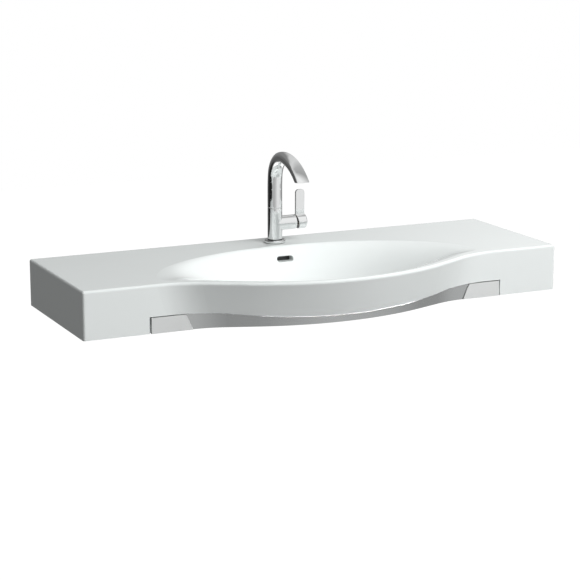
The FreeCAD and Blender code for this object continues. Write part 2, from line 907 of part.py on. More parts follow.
def tap_clamp():
    """The stud with its rubber and steel horseshoes and nut, which pull the tap down on the slab."""
    stud_y = TAP_Y + S.stud_back
    stud_top = TOP - S.shank_drop + S.stud_engagement
    keep(rod("stud", S.stud_radius, S.stud_length, 0, stud_y, stud_top - S.stud_length), "tap_stud")
    under = TOP - S.top_wall
    level = under
    for name, depth in (("rubber", S.clamp_rubber_depth), ("plate", S.clamp_plate_depth)):
        level = level - depth
        disc = rod(name + "_disc", S.clamp_radius, depth, 0, TAP_Y, level)
        mouth = block(
            name + "_mouth",
            S.clamp_slot_half * 2,
            S.clamp_radius + S.stud_back - S.stud_radius * 2,
            depth,
            -S.clamp_slot_half,
            TAP_Y - S.clamp_radius,
            level,
        )
        hole = rod(name + "_hole", S.stud_radius + S.running_gap, depth, 0, stud_y, level)
        node = "clamp_rubber" if name == "rubber" else "clamp_horseshoe"
        keep(cut(name + "_horseshoe", disc, mouth, hole), node)
    nut = ring(
        "stud_nut",
        S.stud_radius + S.running_gap,
        S.stud_nut_radius,
        S.stud_nut_depth,
        0,
        stud_y,
        level - S.stud_nut_depth,
    )
    keep(nut, "tap_fixing_nut")


# Cartridge: two ceramic discs in a housing, worked by a stem that turns and tilts in a carrier


def along_barrel(x):
    """A spot on the barrel's axis, facing along it."""
    return x, TAP_Y, TOP + S.barrel_level, RIGHTWARD


def cartridge():
    seat = S.bore_start + S.port_seal_depth
    cavity = seat + S.housing_floor
    slider_start = cavity + S.disc_depth + S.disc_gap
    pocket_start = slider_start + S.pocket_floor
    ball_x = pocket_start + S.ball_radius + S.disc_gap * 2
    carrier_start = slider_start + S.slider_depth + S.disc_gap
    level = TOP + S.barrel_level

    def ports(name, start, depth):
        """Two through holes side by side, in line from the body to the discs."""
        holes = []
        for side in (-1, 1):
            y = TAP_Y + S.port_offset * side
            holes.append(rod(name + "_port", S.port_radius, depth, start, y, level, RIGHTWARD))
        return holes

    seal = rod("port_seal", S.housing_radius, S.port_seal_depth, *along_barrel(S.bore_start))
    keep(cut("port_seal", seal, *ports("seal", S.bore_start, S.port_seal_depth)), "cartridge_seal")

    profile = [
        (0, 0),
        (S.housing_radius, 0),
        (S.housing_radius, S.housing_end - seat),
        (S.housing_cavity, S.housing_end - seat),
        (S.housing_cavity, S.housing_floor),
        (0, S.housing_floor),
    ]
    cup = turned("housing_cup", profile, *along_barrel(seat))
    keep(cut("housing", cup, *ports("housing", seat, S.housing_floor)), "cartridge_housing")

    fixed = rod("fixed_disc_blank", S.disc_radius, S.disc_depth, *along_barrel(cavity))
    keep(cut("fixed_disc", fixed, *ports("disc", cavity, S.disc_depth)), "cartridge_fixed_disc")

    sliding = rod("slider_blank", S.slider_radius, S.slider_depth, *along_barrel(slider_start))
    pocket = rod("slider_pocket", S.ball_pocket, S.slider_depth, *along_barrel(pocket_start))
    keep(cut("slider", sliding, pocket), "cartridge_moving_disc")

    drum = rod("carrier_drum", S.disc_radius, S.carrier_depth, *along_barrel(carrier_start))
    slot = block(
        "carrier_slot",
        S.carrier_depth,
        S.carrier_slot_half_width * 2,
        S.carrier_slot_half_height * 2,
        carrier_start,
        TAP_Y - S.carrier_slot_half_width,
        level - S.carrier_slot_half_height,
    )
    pin_y = TAP_Y - S.pivot_pin_half
    pin_length = S.pivot_pin_half * 2
    pin_bore = S.pivot_pin_radius + S.running_gap
    carrier_pin_way = rod(
        "carrier_pin_way", pin_bore, pin_length + S.overrun, S.tilt_pivot, TAP_Y - S.overrun, level, REARWARD
    )
    keep(cut("carrier", drum, slot, carrier_pin_way), "cartridge_carrier")
    pin = rod("pivot_pin", S.pivot_pin_radius, pin_length, S.tilt_pivot, pin_y, level, REARWARD)
    keep(pin, "cartridge_pivot_pin")

    stem = block(
        "stem_square",
        S.stem_end - S.stem_start,
        S.stem_half * 2,
        S.stem_half * 2,
        S.stem_start,
        TAP_Y - S.stem_half,
        level - S.stem_half,
    )
    neck = rod("stem_neck", S.neck_radius, S.stem_start - ball_x, *along_barrel(ball_x))
    head = ball("stem_ball", S.ball_radius, *along_barrel(ball_x))
    stem_pin_way = rod(
        "stem_pin_way", pin_bore, pin_length, S.tilt_pivot, pin_y, level, REARWARD
    )
    keep(cut("stem", join("stem_solid", stem, neck, head), stem_pin_way), "cartridge_stem")

    cover = ring(
        "cartridge_cover", S.cover_opening, S.housing_radius, S.cover_depth, *along_barrel(S.housing_end)
    )
    keep(cover, "cartridge_cover")
    nut_start = S.housing_end + S.cover_depth
    nut = ring("cartridge_nut", S.nut_opening, S.housing_radius, S.nut_depth, *along_barrel(nut_start))
    keep(nut, "cartridge_nut")


# Lever: a short cap on the stem, whose inner face is slanted so that it can tilt, and an upright paddle

LEVER_ROUND_SHARE = 0.3


def lever():
    level = TOP + S.barrel_level
    near = S.barrel_length + S.lever_gap_top
    round_start = S.lever_cap_end - near - S.lever_cap_round
    profile = [
        (0, 0),
        (S.lever_cap_radius, 0),
        (S.lever_cap_radius, round_start),
        (S.lever_cap_radius - S.lever_cap_round * LEVER_ROUND_SHARE, round_start + S.lever_cap_round / 2),
        (S.lever_cap_radius - S.lever_cap_round, S.lever_cap_end - near),
        (0, S.lever_cap_end - near),
    ]
    cap = turned("lever_cap", profile, *along_barrel(near))
    paddle_top = S.lever_cap_radius + S.paddle_height
    outline = [
        (S.paddle_start, 0),
        (S.paddle_start + S.paddle_width, 0),
        (S.paddle_start + S.paddle_width, paddle_top),
        (S.paddle_start, paddle_top),
    ]
    paddle = slab(
        "paddle_slab", "XZ_Plane", outline, S.paddle_thickness, 0, TAP_Y + S.paddle_thickness / 2, level
    )

    def is_top_corner(edge):
        box = edge.BoundBox
        return box.ZMin > float(level + paddle_top - S.paddle_corner) and box.XLength < float(S.paddle_corner)

    def is_long_edge(edge):
        return edge.BoundBox.ZMin > float(level)

    cornered = rounded("paddle_cornered", paddle, S.paddle_corner, is_top_corner)
    softened = rounded("paddle_softened", cornered, S.lever_cap_round / 2, is_long_edge)
    solid = join("lever_solid", cap, softened)

    reach = S.lever_cap_radius + S.overrun
    wedge = slab(
        "tilt_wedge",
        "XZ_Plane",
        [
            (S.barrel_length, -reach),
            (S.barrel_length + S.lever_gap_bottom, -S.lever_cap_radius),
            (S.barrel_length + S.lever_gap_top, S.lever_cap_radius),
            (S.barrel_length, S.lever_cap_radius),
        ],
        reach * 2,
        0,
        TAP_Y + reach,
        level,
    )
    half = S.stem_half + S.stem_fit
    socket = block(
        "stem_socket",
        S.stem_end + S.socket_extra - S.barrel_length,
        half * 2,
        half * 2,
        S.barrel_length,
        TAP_Y - half,
        level - half,
    )
    grub_way = rod(
        "grub_way", S.grub_radius + S.running_gap, reach, S.grub_place, TAP_Y, level, REARWARD
    )
    plug_start = S.lever_cap_radius - S.plug_depth - S.stem_fit
    plug_bore = S.plug_radius + S.running_gap
    plug_way = rod("plug_way", plug_bore, S.overrun, S.grub_place, TAP_Y + plug_start, level, REARWARD)
    keep(cut("lever", solid, wedge, socket, grub_way, plug_way), "lever")

    grub_y = TAP_Y + S.stem_half + S.stem_fit
    keep(rod("grub", S.grub_radius, S.grub_length, S.grub_place, grub_y, level, REARWARD), "lever_grub_screw")
    dot = rod(
        "dot", S.plug_radius, S.plug_depth, S.grub_place, TAP_Y + plug_start + S.stem_fit, level, REARWARD
    )
    keep(dot, "lever_plug")


# Spout: a straight column that three tangent arcs carry over to the bowl. On the way the round section
# flattens and squares into a broad blade, which is cut off level at the outlet.

SPOUT_ARC_STEPS = (3, 8, 9)
CROWN_TURN = 12
OUTLET_SLOTS_EACH_SIDE = 2


def spout_arcs():
    """Each arc of the spine: its centre, its radius, and the leans in degrees where it starts and ends."""
    y = float(TAP_Y)
    z = float(TOP + S.body_top + S.slip_ring_depth + S.spout_straight)
    lean = 0
    arcs = []
    for radius, turn in (
        (S.spout_lean_radius, S.spout_lean_turn),
        (S.spout_arch_radius, S.spout_arch_turn),
        (S.spout_blade_radius, S.spout_blade_turn),
    ):
        radius = float(radius)
        centre_y = y - radius * math.cos(math.radians(lean))
        centre_z = z - radius * math.sin(math.radians(lean))
        arcs.append((centre_y, centre_z, radius, lean, lean + float(turn)))
        lean += float(turn)
        y = centre_y + radius * math.cos(math.radians(lean))
        z = centre_z + radius * math.sin(math.radians(lean))
    return arcs


def spout_stations():
    """The places and leans of the spout's sections, from the straight column's top to past the outlet."""
    stations = []
    for (centre_y, centre_z, radius, first, last), steps in zip(spout_arcs(), SPOUT_ARC_STEPS):
        for step in range(steps):
            lean = first + (last - first) * step / steps
            turn = math.radians(lean)
            stations.append((centre_y + radius * math.cos(turn), centre_z + radius * math.sin(turn), lean))
    turn = math.radians(last)
    stations.append((centre_y + radius * math.cos(turn), centre_z + radius * math.sin(turn), last))
    return stations


def outlet_place():
    """Where the spine meets the outlet's level."""
    centre_y, centre_z, radius, first, last = spout_arcs()[-1]
    turn = math.pi - math.asin((float(TOP + S.spout_outlet_level) - centre_z) / radius)
    return centre_y + radius * math.cos(turn)


def spout_section(y, z, lean):
    """One section across the spout: four crowned sides and four corners, eight tangent arcs in all."""
    start = float(S.flatten_start)
    share = min(max((lean - start) / (float(S.flatten_end) - start), 0), 1)
    share = share * share * (3 - 2 * share)
    half_across = float(S.body_radius + (S.blade_half_width - S.body_radius) * share)
    half_through = float(S.body_radius + (S.blade_half_depth - S.body_radius) * share)
    corner = float(S.body_radius + (S.blade_corner - S.body_radius) * share)
    crown = math.radians(CROWN_TURN)
    rise, run = 1 - math.cos(crown), math.sin(crown)
    wide = half_across - corner * (math.cos(crown) - run)
    deep = half_through - corner * (math.cos(crown) - run)
    broad_radius = (wide * run - deep * rise) / (run * run - rise * rise)
    narrow_radius = (deep * run - wide * rise) / (run * run - rise * rise)
    turn = math.radians(lean)

    def spot(across, through):
        return Vector(across, y + through * math.cos(turn), z + through * math.sin(turn))

    def broad_spot(angle, side):
        through = half_through - broad_radius * (1 - math.cos(angle))
        return spot(broad_radius * math.sin(angle), side * through)

    def narrow_spot(angle, side):
        across = half_across - narrow_radius * (1 - math.cos(angle))
        return spot(side * across, narrow_radius * math.sin(angle))

    def corner_spot(across_side, through_side):
        centre_across = broad_radius * run - corner * run
        centre_through = half_through - broad_radius * rise - corner * math.cos(crown)
        reach = corner * math.sqrt(0.5)
        return spot(across_side * (centre_across + reach), through_side * (centre_through + reach))

    spots = [broad_spot(-crown, 1), broad_spot(0, 1), broad_spot(crown, 1), corner_spot(1, 1)]
    spots += [narrow_spot(crown, 1), narrow_spot(0, 1), narrow_spot(-crown, 1), corner_spot(1, -1)]
    spots += [broad_spot(crown, -1), broad_spot(0, -1), broad_spot(-crown, -1), corner_spot(-1, -1)]
    spots += [narrow_spot(-crown, -1), narrow_spot(0, -1), narrow_spot(crown, -1), corner_spot(-1, 1)]
    spots.append(spots[0])
    return Part.Wire([Part.Arc(*spots[first : first + 3]).toShape() for first in range(0, 16, 2)])


def spout():
    blade = loft("spout_blade", [spout_section(*station) for station in spout_stations()])
    foot = S.body_top - S.spigot_length + S.slip_ring_depth
    joint = S.body_top + S.slip_ring_depth
    grooved = S.spigot_radius - S.ring_groove_depth
    stopped = S.spigot_radius - S.stop_groove_depth
    profile = [(0, foot), (S.spigot_radius, foot)]
    for centre, half, radius in (
        (S.lower_ring_level, S.ring_groove_half, grooved),
        (S.upper_ring_level, S.ring_groove_half, grooved),
        (S.stop_level, S.stop_groove_half, stopped),
    ):
        profile.append((S.spigot_radius, centre - half))
        profile.append((radius, centre - half))
        profile.append((radius, centre + half))
        profile.append((S.spigot_radius, centre + half))
    profile.append((S.spigot_radius, joint + S.foot_round))
    profile.append((0, joint + S.foot_round))
    spigot = turned("spigot", profile, 0, TAP_Y, TOP)
    column = rod("spout_column", S.body_radius, S.spout_straight, 0, TAP_Y, TOP + joint)
    solid = join("spout_solid", column, blade, spigot)

    outlet_y = outlet_place()
    outlet_level = TOP + S.spout_outlet_level
    reach = S.body_radius + S.overrun
    trim = block("outlet_trim", reach * 2, reach * 2, reach, -reach, outlet_y - reach, outlet_level - reach)
    pocket = block(
        "outlet_pocket",
        S.outlet_pocket_half_width * 2,
        S.outlet_pocket_half_depth * 2,
        S.outlet_pocket_depth,
        -S.outlet_pocket_half_width,
        outlet_y - S.outlet_pocket_half_depth,
        outlet_level,
    )
    keep(cut("spout", solid, trim, pocket), "spout")

    seal_level = outlet_level + S.outlet_pocket_depth - S.outlet_seal_depth
    fit = S.running_gap
    half_x = S.outlet_pocket_half_width - fit
    half_y = S.outlet_pocket_half_depth - fit
    window_x = half_x - S.outlet_slot_half_width
    window_y = S.outlet_slot_half_depth
    seal_depth = S.outlet_seal_depth
    low_y = outlet_y - half_y
    seal = block("seal_blank", half_x * 2, half_y * 2, seal_depth, -half_x, low_y, seal_level)
    slot_y = outlet_y - window_y
    window = block("seal_window", window_x * 2, window_y * 2, seal_depth, -window_x, slot_y, seal_level)
    keep(cut("outlet_seal", seal, window), "outlet_seal")
    depth = S.outlet_insert_depth
    insert_level = seal_level - depth
    insert = block("insert_blank", half_x * 2, half_y * 2, depth, -half_x, low_y, insert_level)
    slots = []
    for number in range(-OUTLET_SLOTS_EACH_SIDE, OUTLET_SLOTS_EACH_SIDE + 1):
        half = S.outlet_slot_half_width
        left = S.outlet_slot_pitch * number - half
        slots.append(block("insert_slot", half * 2, window_y * 2, depth, left, slot_y, insert_level))
    keep(cut("outlet_insert", insert, *slots), "outlet_insert")


def spout_fixings():
    """Two sealing rings on the spigot, the slip ring under the spout and the screw that keeps it in."""
    rings = []
    inner = S.spigot_radius - S.ring_groove_depth
    outer = S.spigot_radius + S.ring_proud
    for name, level in (("lower", S.lower_ring_level), ("upper", S.upper_ring_level)):
        low = TOP + level - S.ring_section
        rings.append(ring(name + "_ring", inner, outer, S.ring_section * 2, 0, TAP_Y, low))
    keep(group("spout_ring_group", *rings), "spout_sealing_rings")
    slip_depth = S.slip_ring_depth - S.running_gap
    slip_radius = S.body_radius - S.slip_ring_inset
    slip_bore = S.spigot_radius + S.spigot_fit
    slip = ring("slip_ring", slip_bore, slip_radius, slip_depth, 0, TAP_Y, TOP + S.body_top)
    keep(slip, "spout_slip_ring")
    tip = S.spigot_radius - S.stop_groove_depth + S.stop_screw_clearance
    screw = rod(
        "stop_screw",
        S.stop_screw_radius,
        S.body_radius - tip - S.stop_screw_clearance,
        0,
        TAP_Y + tip,
        TOP + S.stop_level,
        REARWARD,
    )
    keep(screw, "spout_stop_screw")


# Waste: a flanged tail with overflow windows, clamped through the drain, and a sprung push-down plug

PLUG_CROWN_SHARE = 0.75


def waste():
    seat = TOP - S.bowl_depth - S.drain_seat_depth
    flange_top = seat + S.flange_seal_depth + S.flange_depth
    bore = S.tail_radius + S.running_gap
    flange_seal = ring("flange_seal", bore, S.flange_radius, S.flange_seal_depth, 0, DRAIN_Y, seat)
    keep(flange_seal, "waste_flange_seal")
    profile = [
        (S.tail_bore, 0),
        (S.tail_bore, -S.tail_length),
        (S.tail_radius, -S.tail_length),
        (S.tail_radius, -(S.tail_relief_drop + S.tail_relief_half)),
        (S.tail_radius - S.tail_relief_depth, -(S.tail_relief_drop + S.tail_relief_half)),
        (S.tail_radius - S.tail_relief_depth, -(S.tail_relief_drop - S.tail_relief_half)),
        (S.tail_radius, -(S.tail_relief_drop - S.tail_relief_half)),
        (S.tail_radius, -S.flange_depth),
        (S.flange_radius, -S.flange_depth),
        (S.flange_radius, -S.flange_depth / 2),
        (S.flange_radius - S.flange_depth / 2, 0),
    ]
    tail = turned("tail", profile, 0, DRAIN_Y, flange_top)
    spider_level = flange_top - S.spider_drop
    arm = block(
        "spider_arm",
        S.tail_bore * 2 + S.running_gap * 2,
        S.spider_half_width * 2,
        S.spider_depth,
        -(S.tail_bore + S.running_gap),
        DRAIN_Y - S.spider_half_width,
        spider_level,
    )
    hub = rod("spider_hub", S.hub_radius, S.spider_depth, 0, DRAIN_Y, spider_level)
    solid = join("waste_solid", tail, arm, hub)
    window_level = TOP - S.bowl_depth - S.bowl_wall - S.drain_boss_depth + S.duct_wall
    window = block(
        "overflow_window",
        S.window_half_width * 2,
        S.tail_radius * 2,
        S.window_height,
        -S.window_half_width,
        DRAIN_Y,
        window_level,
    )
    hub_way = rod("hub_way", S.latch_bore, S.spider_depth, 0, DRAIN_Y, spider_level)
    keep(cut("waste_body", solid, window, hub_way), "waste_body")

    latch_level = spider_level + S.spider_depth
    latch = ring(
        "latch_barrel", S.latch_bore, S.latch_radius, S.latch_rise, 0, DRAIN_Y, latch_level
    )
    keep(latch, "waste_latch_barrel")

    cap_level = flange_top + S.plug_seat_gap + S.plug_lift
    profile = [
        (0, 0),
        (S.plug_cap_radius, 0),
        (S.plug_cap_radius, S.plug_cap_depth - S.plug_crown),
        (S.plug_cap_radius * PLUG_CROWN_SHARE, S.plug_cap_depth - S.plug_crown / 4),
        (0, S.plug_cap_depth),
    ]
    keep(turned("plug_cap", profile, 0, DRAIN_Y, cap_level), "waste_plug")
    seal_inner = S.plug_ring_radius - S.plug_ring_depth * 2
    seal_outer = S.tail_bore - S.plug_seat_gap
    seal_level = cap_level - S.plug_ring_depth
    seal_depth = S.plug_ring_depth
    keep(ring("plug_ring", seal_inner, seal_outer, seal_depth, 0, DRAIN_Y, seal_level), "waste_plug_seal")
    collar_level = latch_level + S.latch_rise + S.plug_seat_gap + S.plug_lift
    profile = [
        (0, collar_level - S.stem_pin_length),
        (S.stem_pin_radius, collar_level - S.stem_pin_length),
        (S.stem_pin_radius, collar_level),
        (S.collar_radius, collar_level),
        (S.collar_radius, collar_level + S.collar_depth),
        (S.stem_pin_radius, collar_level + S.collar_depth),
        (S.stem_pin_radius, cap_level),
        (0, cap_level),
    ]
    keep(turned("plug_stem", profile, 0, DRAIN_Y, 0), "waste_plug_stem")
    sleeve_height = collar_level - latch_level
    spring_bore = S.latch_radius + S.spring_wire / 2
    spring = ring("plug_spring", spring_bore, S.spring_radius, sleeve_height, 0, DRAIN_Y, latch_level)
    keep(spring, "waste_spring")


def waste_fixings():
    """Rubber seal, slip washer and back nut that pull the waste up against the casting."""
    bore = S.tail_radius + S.running_gap
    level = TOP - S.bowl_depth - S.drain_boss_depth - S.bowl_wall
    for node, radius, depth in (
        ("waste_rubber_washer", S.nut_seal_radius, S.nut_seal_depth),
        ("waste_slip_washer", S.back_nut_radius, S.slip_washer_depth),
        ("waste_back_nut", S.back_nut_radius, S.back_nut_depth),
    ):
        level = level - depth
        keep(ring(node + "_ring", bore, radius, depth, 0, DRAIN_Y, level), node)


basin()
towel_rail()
end_plates()
rail_fixings()
tap_foot()
tap_body()
tap_clamp()
cartridge()
lever()
spout()
spout_fixings()
waste()
waste_fixings()

# Every object has to compute, and every piece has to be a sound solid, before any is written

doc.recompute()
for thing in doc.Objects:
    if "Invalid" in thing.State or "Error" in thing.State:
        raise RuntimeError("%s did not compute" % thing.Name)
for thing in nodes:
    if thing.Shape.isNull() or not thing.Shape.isValid() or not thing.Shape.Solids:
        raise RuntimeError("%s is not a sound solid" % thing.Label)

os.makedirs("parts", exist_ok=True)
for thing in nodes:
    thing.Shape.exportStep("parts/%s.step" % thing.Label)
    print("%s: %d solid(s), %.2f cm3" % (thing.Label, len(thing.Shape.Solids), thing.Shape.Volume / 1000))
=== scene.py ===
import json
import math
import bmesh
import bpy
import numpy
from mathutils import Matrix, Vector

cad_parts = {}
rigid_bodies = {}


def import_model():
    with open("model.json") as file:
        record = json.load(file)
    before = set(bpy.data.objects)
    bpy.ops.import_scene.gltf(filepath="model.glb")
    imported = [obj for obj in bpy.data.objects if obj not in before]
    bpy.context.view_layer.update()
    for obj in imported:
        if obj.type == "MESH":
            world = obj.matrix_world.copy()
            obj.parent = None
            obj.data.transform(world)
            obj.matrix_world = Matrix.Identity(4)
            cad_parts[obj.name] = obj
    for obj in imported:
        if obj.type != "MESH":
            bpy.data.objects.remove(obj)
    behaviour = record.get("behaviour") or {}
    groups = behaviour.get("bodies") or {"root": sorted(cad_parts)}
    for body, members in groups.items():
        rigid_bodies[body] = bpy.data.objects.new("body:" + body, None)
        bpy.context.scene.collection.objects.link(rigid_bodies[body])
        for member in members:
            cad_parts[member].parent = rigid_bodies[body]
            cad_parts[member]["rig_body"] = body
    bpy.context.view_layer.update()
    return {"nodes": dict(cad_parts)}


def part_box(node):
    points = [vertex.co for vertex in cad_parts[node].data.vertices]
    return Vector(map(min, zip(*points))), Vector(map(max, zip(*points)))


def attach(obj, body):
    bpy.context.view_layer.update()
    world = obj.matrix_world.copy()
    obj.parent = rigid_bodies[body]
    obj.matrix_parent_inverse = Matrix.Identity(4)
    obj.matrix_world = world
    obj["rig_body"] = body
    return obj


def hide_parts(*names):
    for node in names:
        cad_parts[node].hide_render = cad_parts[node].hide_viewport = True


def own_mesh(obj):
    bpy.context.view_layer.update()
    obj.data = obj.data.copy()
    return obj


# A wall-hung washbasin of glazed ceramic with a side-lever tap, a push-down waste and a bowed chromed rail.
# Width runs along X, the front faces -Y, Z is up, and the origin lies on the wall between the wall bolts.
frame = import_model()


# The camera: a long lens at the front left, a little above the basin. It looks down by about 13 degrees and
# isn't rolled to a side.
sensor_width, focal_length = 36, 115.15
camera_place, camera_heading = (-1.84633, -4.08063, 0.95122), (0.4146, 0.8824, -0.2229)
camera_data = bpy.data.cameras.new("viewpoint")
camera_data.sensor_fit = "HORIZONTAL"
camera_data.sensor_width = sensor_width
camera_data.lens = focal_length
camera = bpy.data.objects.new("viewpoint", camera_data)
camera.location = camera_place
camera.rotation_euler = Vector(camera_heading).to_track_quat("-Z", "Y").to_euler()
bpy.context.scene.collection.objects.link(camera)
bpy.context.scene.camera = camera
bpy.context.scene.view_settings.view_transform = "Standard"


# The ceramic casting: vitreous china, slip cast in one piece, glazed all over but for the ground rear face
# that meets the wall. The glaze pools into a slightly uneven, very glossy skin.
grain_detail, broad_share, grain_depth = 3, 0.7, 0.0005
rounding_samples = 6


def finish(name):
    """A new material with its Principled BSDF, and the maker of its nodes."""
    material = bpy.data.materials.new(name)
    material.use_nodes = True
    tree = material.node_tree
    shader = tree.nodes["Principled BSDF"]

    def node(kind, **values):
        made = tree.nodes.new(kind)
        for key, value in values.items():
            if hasattr(made, key):
                setattr(made, key, value)
            else:
                made.inputs[key.replace("_", " ")].default_value = value
        return made

    return material, shader, node, tree.links.new


def surface_grain():
    """A node group: uneven colour, roughness and height for any moulded, cast or plated skin."""
    group = bpy.data.node_groups.new("surface_grain", "ShaderNodeTree")
    face = group.interface.new_socket
    face("Colour", in_out="INPUT", socket_type="NodeSocketColor")
    face("Shade", in_out="INPUT", socket_type="NodeSocketFloat")
    face("Broad Scale", in_out="INPUT", socket_type="NodeSocketFloat")
    face("Fine Scale", in_out="INPUT", socket_type="NodeSocketFloat")
    face("Least Roughness", in_out="INPUT", socket_type="NodeSocketFloat")
    face("Most Roughness", in_out="INPUT", socket_type="NodeSocketFloat")
    face("Colour", in_out="OUTPUT", socket_type="NodeSocketColor")
    face("Roughness", in_out="OUTPUT", socket_type="NodeSocketFloat")
    face("Height", in_out="OUTPUT", socket_type="NodeSocketFloat")
    nodes, link = group.nodes, group.links.new
    given, out = nodes.new("NodeGroupInput"), nodes.new("NodeGroupOutput")
    place = nodes.new("ShaderNodeTexCoord")
    broad, fine = nodes.new("ShaderNodeTexNoise"), nodes.new("ShaderNodeTexNoise")
    for noise, scale in ((broad, "Broad Scale"), (fine, "Fine Scale")):
        link(place.outputs["Object"], noise.inputs["Vector"])
        link(given.outputs[scale], noise.inputs["Scale"])
        noise.inputs["Detail"].default_value = grain_detail
    darker = nodes.new("ShaderNodeMix")
    darker.data_type, darker.blend_type = "RGBA", "MULTIPLY"
    link(given.outputs["Shade"], darker.inputs["Factor"])
    link(given.outputs["Colour"], darker.inputs["A"])
    link(broad.outputs["Fac"], darker.inputs["B"])
    link(darker.outputs["Result"], out.inputs["Colour"])
    spread = nodes.new("ShaderNodeMapRange")
    link(fine.outputs["Fac"], spread.inputs["Value"])
    link(given.outputs["Least Roughness"], spread.inputs["To Min"])
    link(given.outputs["Most Roughness"], spread.inputs["To Max"])
    link(spread.outputs["Result"], out.inputs["Roughness"])
    summed = nodes.new("ShaderNodeMath")
    summed.operation = "MULTIPLY_ADD"
    link(broad.outputs["Fac"], summed.inputs[0])
    summed.inputs[1].default_value = broad_share
    link(fine.outputs["Fac"], summed.inputs[2])
    link(summed.outputs["Value"], out.inputs["Height"])
    return group


grain = surface_grain()


def grained(name, colour, shade, broad, fine, least, most, bump, metallic=0.0, rounding=0.0):
    """A finish with uneven colour, roughness and bump, and with polished-off edges if asked."""
    material, shader, node, link = finish(name)
    grains = node("ShaderNodeGroup", node_tree=grain)
    grains.inputs["Colour"].default_value = (*colour, 1)
    grains.inputs["Shade"].default_value = shade
    grains.inputs["Broad Scale"].default_value = broad
    grains.inputs["Fine Scale"].default_value = fine
    grains.inputs["Least Roughness"].default_value = least
    grains.inputs["Most Roughness"].default_value = most
    raised = node("ShaderNodeBump", Strength=bump, Distance=grain_depth)
    link(grains.outputs["Height"], raised.inputs["Height"])
    link(grains.outputs["Colour"], shader.inputs["Base Color"])
    link(grains.outputs["Roughness"], shader.inputs["Roughness"])
    link(raised.outputs["Normal"], shader.inputs["Normal"])
    if rounding:
        eased = node("ShaderNodeBevel", samples=rounding_samples, Radius=rounding)
        link(eased.outputs["Normal"], raised.inputs["Normal"])
    shader.inputs["Metallic"].default_value = metallic
    return material


def coat_node(name, material):
    """Gives a CAD node its finish."""
    slots = frame["nodes"][name].data.materials
    slots.clear()
    slots.append(material)


def axes_of(material):
    """The three object coordinates of a finish, in metres."""
    nodes, link = material.node_tree.nodes, material.node_tree.links.new
    axes = nodes.new("ShaderNodeSeparateXYZ")
    link(nodes.new("ShaderNodeTexCoord").outputs["Object"], axes.inputs["Vector"])
    return axes.outputs


def edge(material, value, start, end):
    """A mask that rises from 0 to 1 while a coordinate goes from one place to another."""
    rise = material.node_tree.nodes.new("ShaderNodeMapRange")
    rise.interpolation_type = "SMOOTHSTEP"
    material.node_tree.links.new(value, rise.inputs["Value"])
    rise.inputs["From Min"].default_value = start
    rise.inputs["From Max"].default_value = end
    return rise.outputs["Result"]


def both(material, first, second):
    """Where both masks are."""
    product = material.node_tree.nodes.new("ShaderNodeMath")
    product.operation = "MULTIPLY"
    material.node_tree.links.new(first, product.inputs[0])
    material.node_tree.links.new(second, product.inputs[1])
    return product.outputs["Value"]


def lay_over(material, mask, colour, roughness):
    """Lays another colour and roughness over a finish inside a mask."""
    nodes, link = material.node_tree.nodes, material.node_tree.links.new
    shader = nodes["Principled BSDF"]
    for socket, kind, value in (("Base Color", "RGBA", (*colour, 1)), ("Roughness", "FLOAT", roughness)):
        under = shader.inputs[socket].links[0].from_socket
        mixer = nodes.new("ShaderNodeMix")
        mixer.data_type = kind
        factor, below, above = [plug for plug in mixer.inputs if plug.enabled]
        link(mask, factor)
        link(under, below)
        above.default_value = value
        link([plug for plug in mixer.outputs if plug.enabled][0], shader.inputs[socket])


glaze = grained("glazed_white", (0.836, 0.872, 0.864), shade=0.03, broad=3.5, fine=55,
                least=0.05, most=0.11, bump=0.015)
glaze_axes = axes_of(glaze)
# Painted shade: the inside of the overflow duct is painted near black with a duller gloss, standing in for
# the shade deep in the duct.
duct_front, duct_back, duct_half, duct_top = -0.107, -0.0965, 0.021, 0.038
side_blur, front_blur, back_blur, top_blur = 0.0002, 0.0006, 0.001, 0.0005
duct_shadow, duct_roughness = (0.12, 0.122, 0.12), 0.4
duct_across = both(glaze, edge(glaze, glaze_axes["X"], -duct_half, -duct_half + side_blur),
                   edge(glaze, glaze_axes["X"], duct_half, duct_half - side_blur))
duct_along = both(glaze, edge(glaze, glaze_axes["Y"], duct_front, duct_front + front_blur),
                  edge(glaze, glaze_axes["Y"], duct_back, duct_back - back_blur))
painted_duct_shade = both(glaze, both(glaze, duct_across, duct_along),
               edge(glaze, glaze_axes["Z"], duct_top, duct_top - top_blur))
lay_over(glaze, painted_duct_shade, duct_shadow, duct_roughness)
bare_start, bare_end = -0.0012, -0.0004
bare_clay, bare_roughness = (0.55, 0.5, 0.43), 0.85
lay_over(glaze, edge(glaze, glaze_axes["Y"], bare_start, bare_end), bare_clay, bare_roughness)
coat_node("basin", glaze)


# The bowl's front wall: between the bowl and the rail's recess the china goes on as one smooth wall, about
# 12 mm thick. It is part of the same casting, under the same glaze. Two thin skins lay it over the solid.
basin = frame["nodes"]["basin"]
root_body = basin["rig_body"]
wall_half, wall_front, wall_back = 0.136, -0.426, -0.352
wall_middle = (wall_front + wall_back) / 2
inside_half, inside_front, inside_back = 0.078, -0.402, -0.354
sample_grid, inside_grid, underside_grid = (55, 38), (53, 25), (69, 38)
ray_top, ray_bottom = 0.055, -0.2
recess_roof, bowl_floor = -0.0284, -0.045
bowl_order, wall_order = (4, 4), (2, 2)
skin_gap, skin_thickness, skin_crease = 0.00017, 0.002, math.radians(50)


def even_terms(x, y, across, along):
    """The terms of a smooth surface that is alike on the left and on the right."""
    out, deep = x / wall_half, (y - wall_middle) / (wall_back - wall_middle)
    return [out ** (2 * i) * deep ** j for i in range(across) for j in range(along)]


def spread_spots(half, front, back, columns, rows):
    """A grid of places in X and Y, row by row from the front."""
    return [(half * (2 * column / (columns - 1) - 1), front + (back - front) * row / (rows - 1))
            for row in range(rows) for column in range(columns)]


